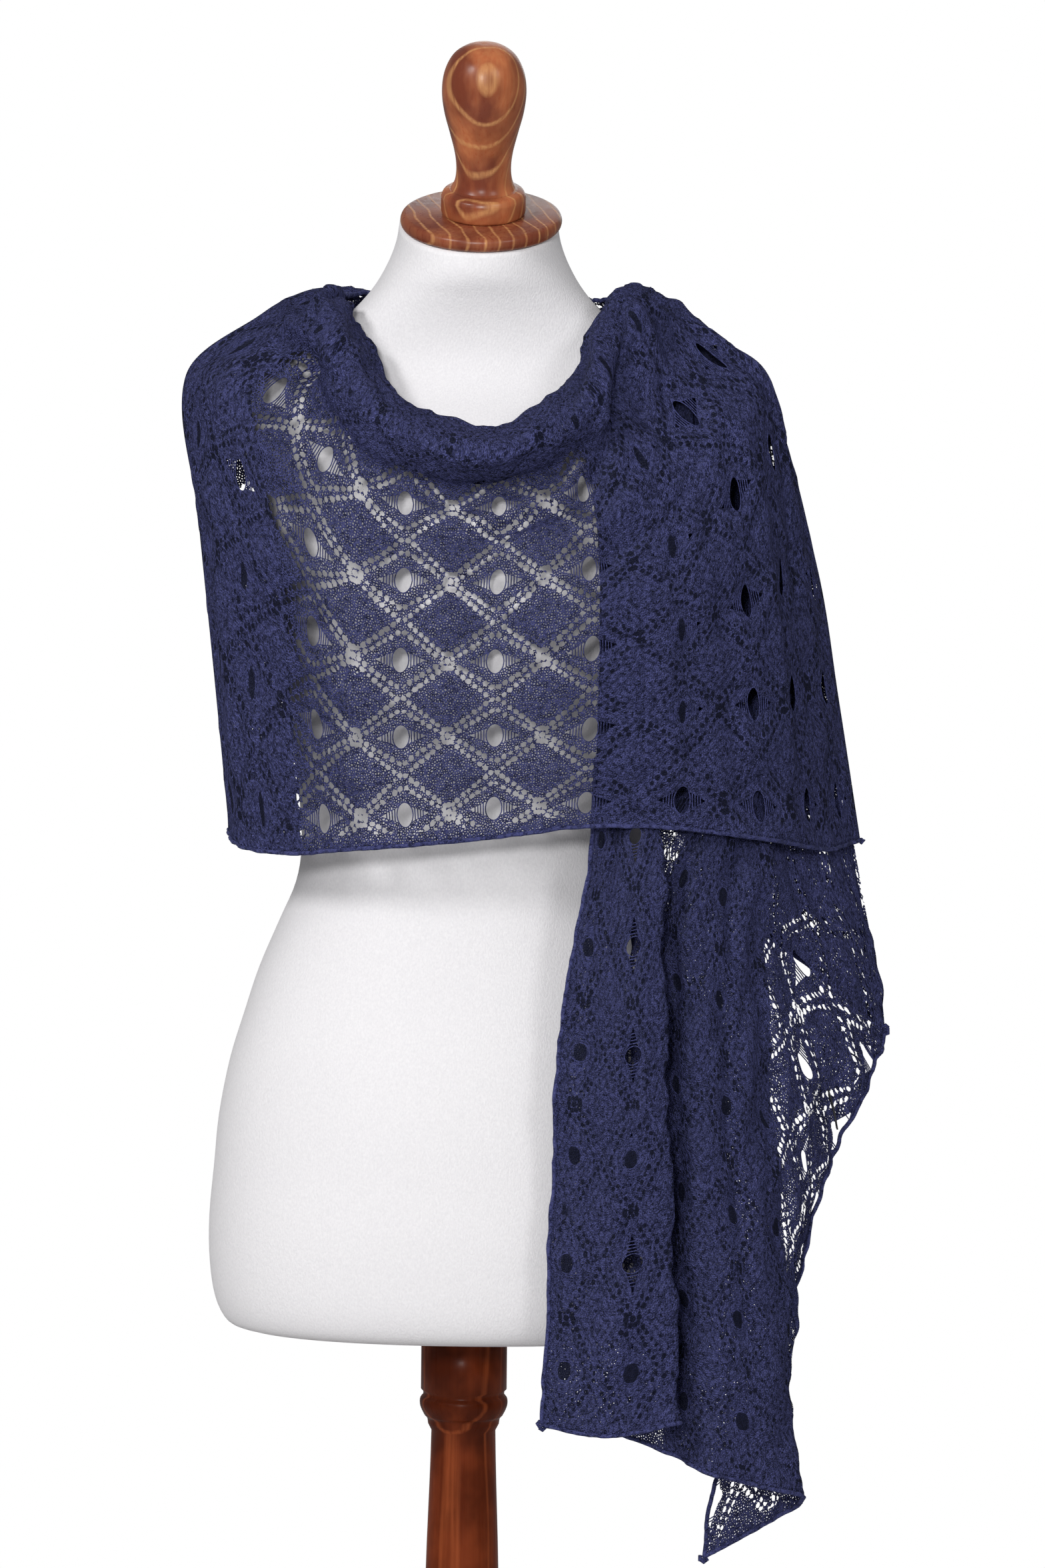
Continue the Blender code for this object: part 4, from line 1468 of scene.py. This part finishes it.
    def build(self, laying: YarnLaying) -> None:
        """Build and dress the whole shawl.

        Args:
            laying: The tree that lays yarn.
        """
        cross, back = self.cross(), self.back()
        end, thrown = self.hanging_end(), self.thrown_end()
        back.meet(0, cross.grid[0])
        thrown.meet(0, cross.grid[-1])
        corner = int(np.argmax(end.grid[:, -1, 0]))
        under = np.concatenate([end.grid[-1], end.grid[corner:-1, -1][::-1]])
        back.meet(-1, under)
        for stretch in (cross, back, end, thrown):
            stretch.work()
        lace = {chart.state: self.yarn.lace(chart) for chart in (cross.chart, end.chart)}
        yarn = self.yarn.yarn()
        tucked = int(self.tucked_share * end.grid.shape[0])
        selvedges = (end.grid[:corner + 1, -1], end.grid[:tucked, 0])
        for stretch in (cross, back, end, thrown):
            cloth = stretch.cloth(lace[stretch.chart.state])
            rolls = stretch.rolls(laying, yarn, selvedges if stretch is end else ())
            yarns = stretch.yarns(laying, yarn)
            dress(cloth, stretch.node, stretch.node)
            dress(rolls, stretch.node)
            dress(yarns, stretch.node)
            stretch.width * MM
            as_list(stretch.rests_on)
        dress(self.tag(end), "shawl_label", "shawl_label")


@dataclass
class DressForm:
    """The armless form's torso, smoother than its solid.

    A ring is its height, half width, depth in front, depth behind and lean in degrees.
    """

    sides: int = 96
    finer: int = 4
    roundness: float = 2.15
    lean_from: float = -10.5
    rings: tuple[tuple[float, float, float, float, float], ...] = (
        (750.3, 150, 84, 92, 0), (755, 162, 96, 106, 0), (770, 170, 103, 114, 0),
        (795, 174, 106, 118, 0), (825, 174.5, 107, 120, 0), (860, 171.5, 105, 119, 0),
        (893, 168.5, 103, 115, 0), (930, 161.5, 99, 107, 0), (962, 152, 94, 99, 0),
        (993, 142, 89, 92, 0), (1025, 128.5, 84, 85, 0), (1050, 118, 82, 80, 0),
        (1075, 114.5, 82, 78, 0), (1110, 116.5, 88, 80, 0), (1145, 121, 99, 84, 0),
        (1180, 126, 112, 89, 0), (1215, 128.5, 119, 93, 0), (1250, 131, 114, 96, 0),
        (1290, 139, 100, 97, 0), (1330, 151, 82, 91, 0), (1358, 166, 66, 80, 0),
        (1374, 172, 52, 67, 0), (1387, 159, 43, 56, 0), (1401, 134, 39, 51, 0),
        (1415, 108, 40, 49, 0), (1429, 86, 44, 48, 2), (1444, 71, 50, 47, 6),
        (1459, 61, 56, 45, 12), (1473, 55, 59, 40, 18), (1487, 52.5, 60, 39, 21),
    )

    def ring(self, sizes: Sequence[float]) -> list[Triple]:
        """Place one ring, fuller than an ellipse.

        Args:
            sizes: The ring's row of the table, in millimetres and degrees.

        Returns:
            Its points in metres.
        """
        height, half_width, front, back, lean = sizes
        power, points = 2.0 / self.roundness, []
        for i in range(self.sides):
            angle = 2.0 * math.pi * i / self.sides
            c, s = math.cos(angle), math.sin(angle)
            x = half_width * math.copysign(abs(c) ** power, c)
            y = (back if s > 0 else front) * math.copysign(abs(s) ** power, s)
            z = height + math.tan(math.radians(lean)) * (y - self.lean_from)
            points.append((x * MM, y * MM, z * MM))
        return points

    def build(self) -> None:
        """Build the torso as a closed stack of rings."""
        count, sides = len(self.rings), self.sides
        fine = np.linspace(0, 1, (count - 1) * self.finer + 1)
        smooth = hermite_weights(np.linspace(0, 1, count), fine) @ np.array(self.rings)
        points = [self.ring(row) for row in smooth]
        faces = grid_faces(len(smooth), sides, closed=True)
        faces.append(tuple(reversed(range(sides))))
        top = (len(smooth) - 1) * sides
        faces.append(tuple(range(top, top + sides)))
        made = link_mesh("torso_cover", points, [], faces, CottonJersey().material())
        dress(made, "form_torso", "form_torso")


@dataclass
class TurnedPiece:
    """A turned piece of pine: runs of smooth profile that meet at sharp corners."""

    name: str
    node: str
    runs: Runs
    sides: int = 96
    finer: int = 5

    def profile(self) -> list[Pair]:
        """Smooth each run of the profile and join them.

        Returns:
            Radii and heights in millimetres, from the top down.
        """
        made: list[Pair] = []
        for run in self.runs:
            points = np.array(run, dtype=float)
            if len(points) > 2:
                knots = places_of(np.linalg.norm(np.diff(points, axis=0), axis=1))
                fine = np.linspace(0, 1, (len(points) - 1) * self.finer + 1)
                points = hermite_weights(knots, fine) @ points
            made += [tuple(p) for p in points if not made or tuple(p) != made[-1]]
        return made

    def build(self, placing: Matrix, finish: bpy.types.Material) -> None:
        """Turn the profile and dress the piece.

        Args:
            placing: Where the profile's axis stands.
            finish: The wood's material.
        """
        points = [(max(out, 0.0) * MM, 0.0, height * MM) for out, height in self.profile()]
        edges = [(i, i + 1) for i in range(len(points) - 1)]
        made = link_mesh(self.name, points, edges, [], finish)
        turn = made.modifiers.new("Turn", "SCREW")
        turn.axis = "Z"
        turn.steps = turn.render_steps = self.sides
        turn.use_merge_vertices = True
        turn.merge_threshold = 0.00001
        turn.use_smooth_shade = True
        made_plain(made)
        made.data.transform(placing)
        made.data.update()
        dress(made, self.node, self.node)


@dataclass
class Stand:
    """The cap, its knob, the post and the foot, all turned from stained pine.

    A profile is runs of radius and height in millimetres, from the top down.
    """

    cap_seat: Triple = (1.7, -10.5, 1487.6)
    cap_lean: float = 21.0
    cap_thick: float = 9.6
    knob_aside: float = 1.4
    gap: float = 0.3
    post_centre: Triple = (-2.3, 0.0, 0.0)
    cap: Runs = (
        ((0, 9.6), (49.8, 9.6)),
        ((49.8, 9.6), (52.3, 8.4), (53.5, 6), (53.5, 3.6), (52.4, 1.2), (50, 0)),
        ((50, 0), (0, 0)),
    )
    knob: Runs = (
        ((0, 116.2), (5.5, 116.1), (12.5, 114.2), (20.8, 108), (26.2, 97), (27.8, 84),
         (26.2, 70), (22.6, 56), (19.2, 42), (18.1, 31), (19.2, 22), (22, 17)),
        ((22, 17), (26.4, 15), (28, 12)),
        ((28, 12), (28, 1.5), (27, 0)),
        ((27, 0), (0, 0)),
    )
    post: Runs = (
        ((0, 750), (28.9, 750)), ((28.9, 750), (28.9, 708.5)), ((28.9, 708.5), (27.3, 706.8)),
        ((27.3, 706.8), (27.3, 704.6)),
        ((27.3, 704.6), (29.3, 702), (29.5, 698), (28.4, 694.5), (26.4, 690.6)),
        ((26.4, 690.6), (24.6, 688.6), (23.9, 684.8)), ((23.9, 684.8), (21.6, 680.4)),
        ((21.6, 680.4), (22.2, 655), (24.4, 590), (26.4, 480), (25.2, 340), (21.4, 200),
         (19.6, 120)),
        ((19.6, 120), (22.6, 104)),
        ((22.6, 104), (26.8, 100), (27.4, 93), (26.8, 86), (24.2, 82)),
        ((24.2, 82), (31.5, 70), (34.5, 60)), ((34.5, 60), (34.5, 48.3)),
        ((34.5, 48.3), (0, 48.3)),
    )
    foot: Runs = (
        ((0, 48), (58, 48)), ((58, 48), (66, 45.5), (72, 38)),
        ((72, 38), (96, 32), (140, 29), (163, 24)), ((163, 24), (169, 20), (170, 14)),
        ((170, 14), (170, 4)), ((170, 4), (166, 0)), ((166, 0), (0, 0)),
    )

    def build(self) -> None:
        """Build and dress the four turned pieces."""
        wood = StainedPine().material()
        browner = StainedPine(mid=(0.25, 0.064, 0.030), pith=(0.34, 0.10)).material()
        darker = StainedPine(
            (0.055, 0.009, 0.003), (0.16, 0.029, 0.009), (0.29, 0.066, 0.021), gloss=0.06
        ).material()
        lean = Matrix.Rotation(math.radians(self.cap_lean), 4, "X")
        seat = Matrix.Translation(Vector(self.cap_seat) * MM) @ lean
        above = Vector((self.knob_aside, 0, self.cap_thick + self.gap)) * MM
        post = Matrix.Translation(Vector(self.post_centre) * MM)
        for name, node, runs, placing, finish in (
            ("neck_cap", "form_neck_cap", self.cap, seat, browner),
            ("knob", "form_finial", self.knob, seat @ Matrix.Translation(above), wood),
            ("post", "stand_post", self.post, post, darker),
            ("foot", "stand_base", self.foot, Matrix.Identity(4), darker),
        ):
            TurnedPiece(name, node, runs).build(placing, finish)


@dataclass
class Studio:
    """The floor, the soft lights and the camera at the photograph's angle.

    A light is its name, place, size in metres and power in watts.
    """

    camera_place: Triple = (0.033, -4.0, 1.384125)
    camera_down: float = 3.825
    camera_roll: float = 0.6
    lens: float = 137.58
    sensor: float = 36.0
    floor_half: float = 2.4
    ambient: float = 0.24
    aim: Triple = (0.03, 0.0, 1.15)
    lights: tuple[tuple[str, Triple, float, float], ...] = (
        ("key", (-1.8, -2.2, 2.9), 0.8, 47.0),
        ("front", (-0.5, -4.3, 2.1), 0.6, 80.0),
        ("fill", (1.5, -2.3, 2.4), 0.8, 14.0),
        ("back", (0.6, 3.2, 3.0), 2.6, 22.0),
    )

    def floor(self) -> None:
        """Lay the plain pale floor."""
        wiring = Wiring("Pale Floor")
        cloudy = wiring.noise(wiring.here(), 0.7)
        wiring.shade(base_color=wiring.mix(cloudy, (0.64,) * 3, (0.68,) * 3), roughness=0.9)
        half = self.floor_half
        corners = [(-half, -half, 0), (half, -half, 0), (half, half, 0), (-half, half, 0)]
        link_mesh("studio_floor", corners, [], [(0, 1, 2, 3)], wiring.finish)

    def light(self) -> None:
        """Hang the lights and fill the room with soft white light."""
        for name, place, size, power in self.lights:
            lamp = bpy.data.lights.new(name, "AREA")
            lamp.shape = "DISK"
            lamp.size = size
            lamp.energy = power
            made = bpy.data.objects.new(name, lamp)
            made.location = place
            aim = Vector(self.aim) - Vector(place)
            made.rotation_euler = aim.to_track_quat("-Z", "Y").to_euler()
            bpy.context.scene.collection.objects.link(made)
        world = bpy.data.worlds.new("Studio")
        bpy.context.scene.world = world
        world.use_nodes = True
        tree = world.node_tree
        soft, bright = tree.nodes["Background"], tree.nodes.new("ShaderNodeBackground")
        for glow, strength in ((soft, self.ambient), (bright, 1.0)):
            glow.inputs[0].default_value = (1.0, 1.0, 1.0, 1.0)
            glow.inputs[1].default_value = strength
        seen = tree.nodes.new("ShaderNodeLightPath")
        choice = tree.nodes.new("ShaderNodeMixShader")
        tree.links.new(seen.outputs["Is Camera Ray"], choice.inputs[0])
        tree.links.new(soft.outputs[0], choice.inputs[1])
        tree.links.new(bright.outputs[0], choice.inputs[2])
        tree.links.new(choice.outputs[0], tree.nodes["World Output"].inputs[0])
        bpy.context.scene.view_settings.view_transform = "Standard"
        bpy.context.scene.cycles.transparent_max_bounces = 48

    def camera(self) -> None:
        """Set the camera at the photograph's angle."""
        lens = bpy.data.cameras.new("Photo Angle")
        lens.lens = self.lens
        lens.sensor_width = self.sensor
        made = bpy.data.objects.new("Photo Angle", lens)
        tilt = Matrix.Rotation(math.radians(90.0 - self.camera_down), 4, "X")
        roll = Matrix.Rotation(math.radians(self.camera_roll), 4, "Z")
        made.matrix_world = Matrix.Translation(self.camera_place) @ tilt @ roll
        bpy.context.scene.collection.objects.link(made)
        bpy.context.scene.camera = made

    def build(self) -> None:
        """Set up the whole studio."""
        self.camera()
        self.light()
        self.floor()


def dress(piece: bpy.types.Object, slot: str, node: Optional[str] = None) -> None:
    """Attach a piece to the body, hide the CAD part that it stands for and log its faces.

    Args:
        piece: The piece.
        slot: A material slot's name; not used.
        node: The CAD node that it stands for, if any.
    """
    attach(piece, BODY)
    if node:
        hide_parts(node)
    LOG.info("%s: %d faces", piece.name, len(piece.data.polygons))


def main() -> None:
    """Build every sub-assembly in order."""
    logging.basicConfig(level=logging.INFO, format="%(name)s: %(message)s")
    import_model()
    Studio().build()
    DressForm().build()
    Stand().build()
    Shawl().build(YarnLaying())


if __name__ == "__main__":
    main()
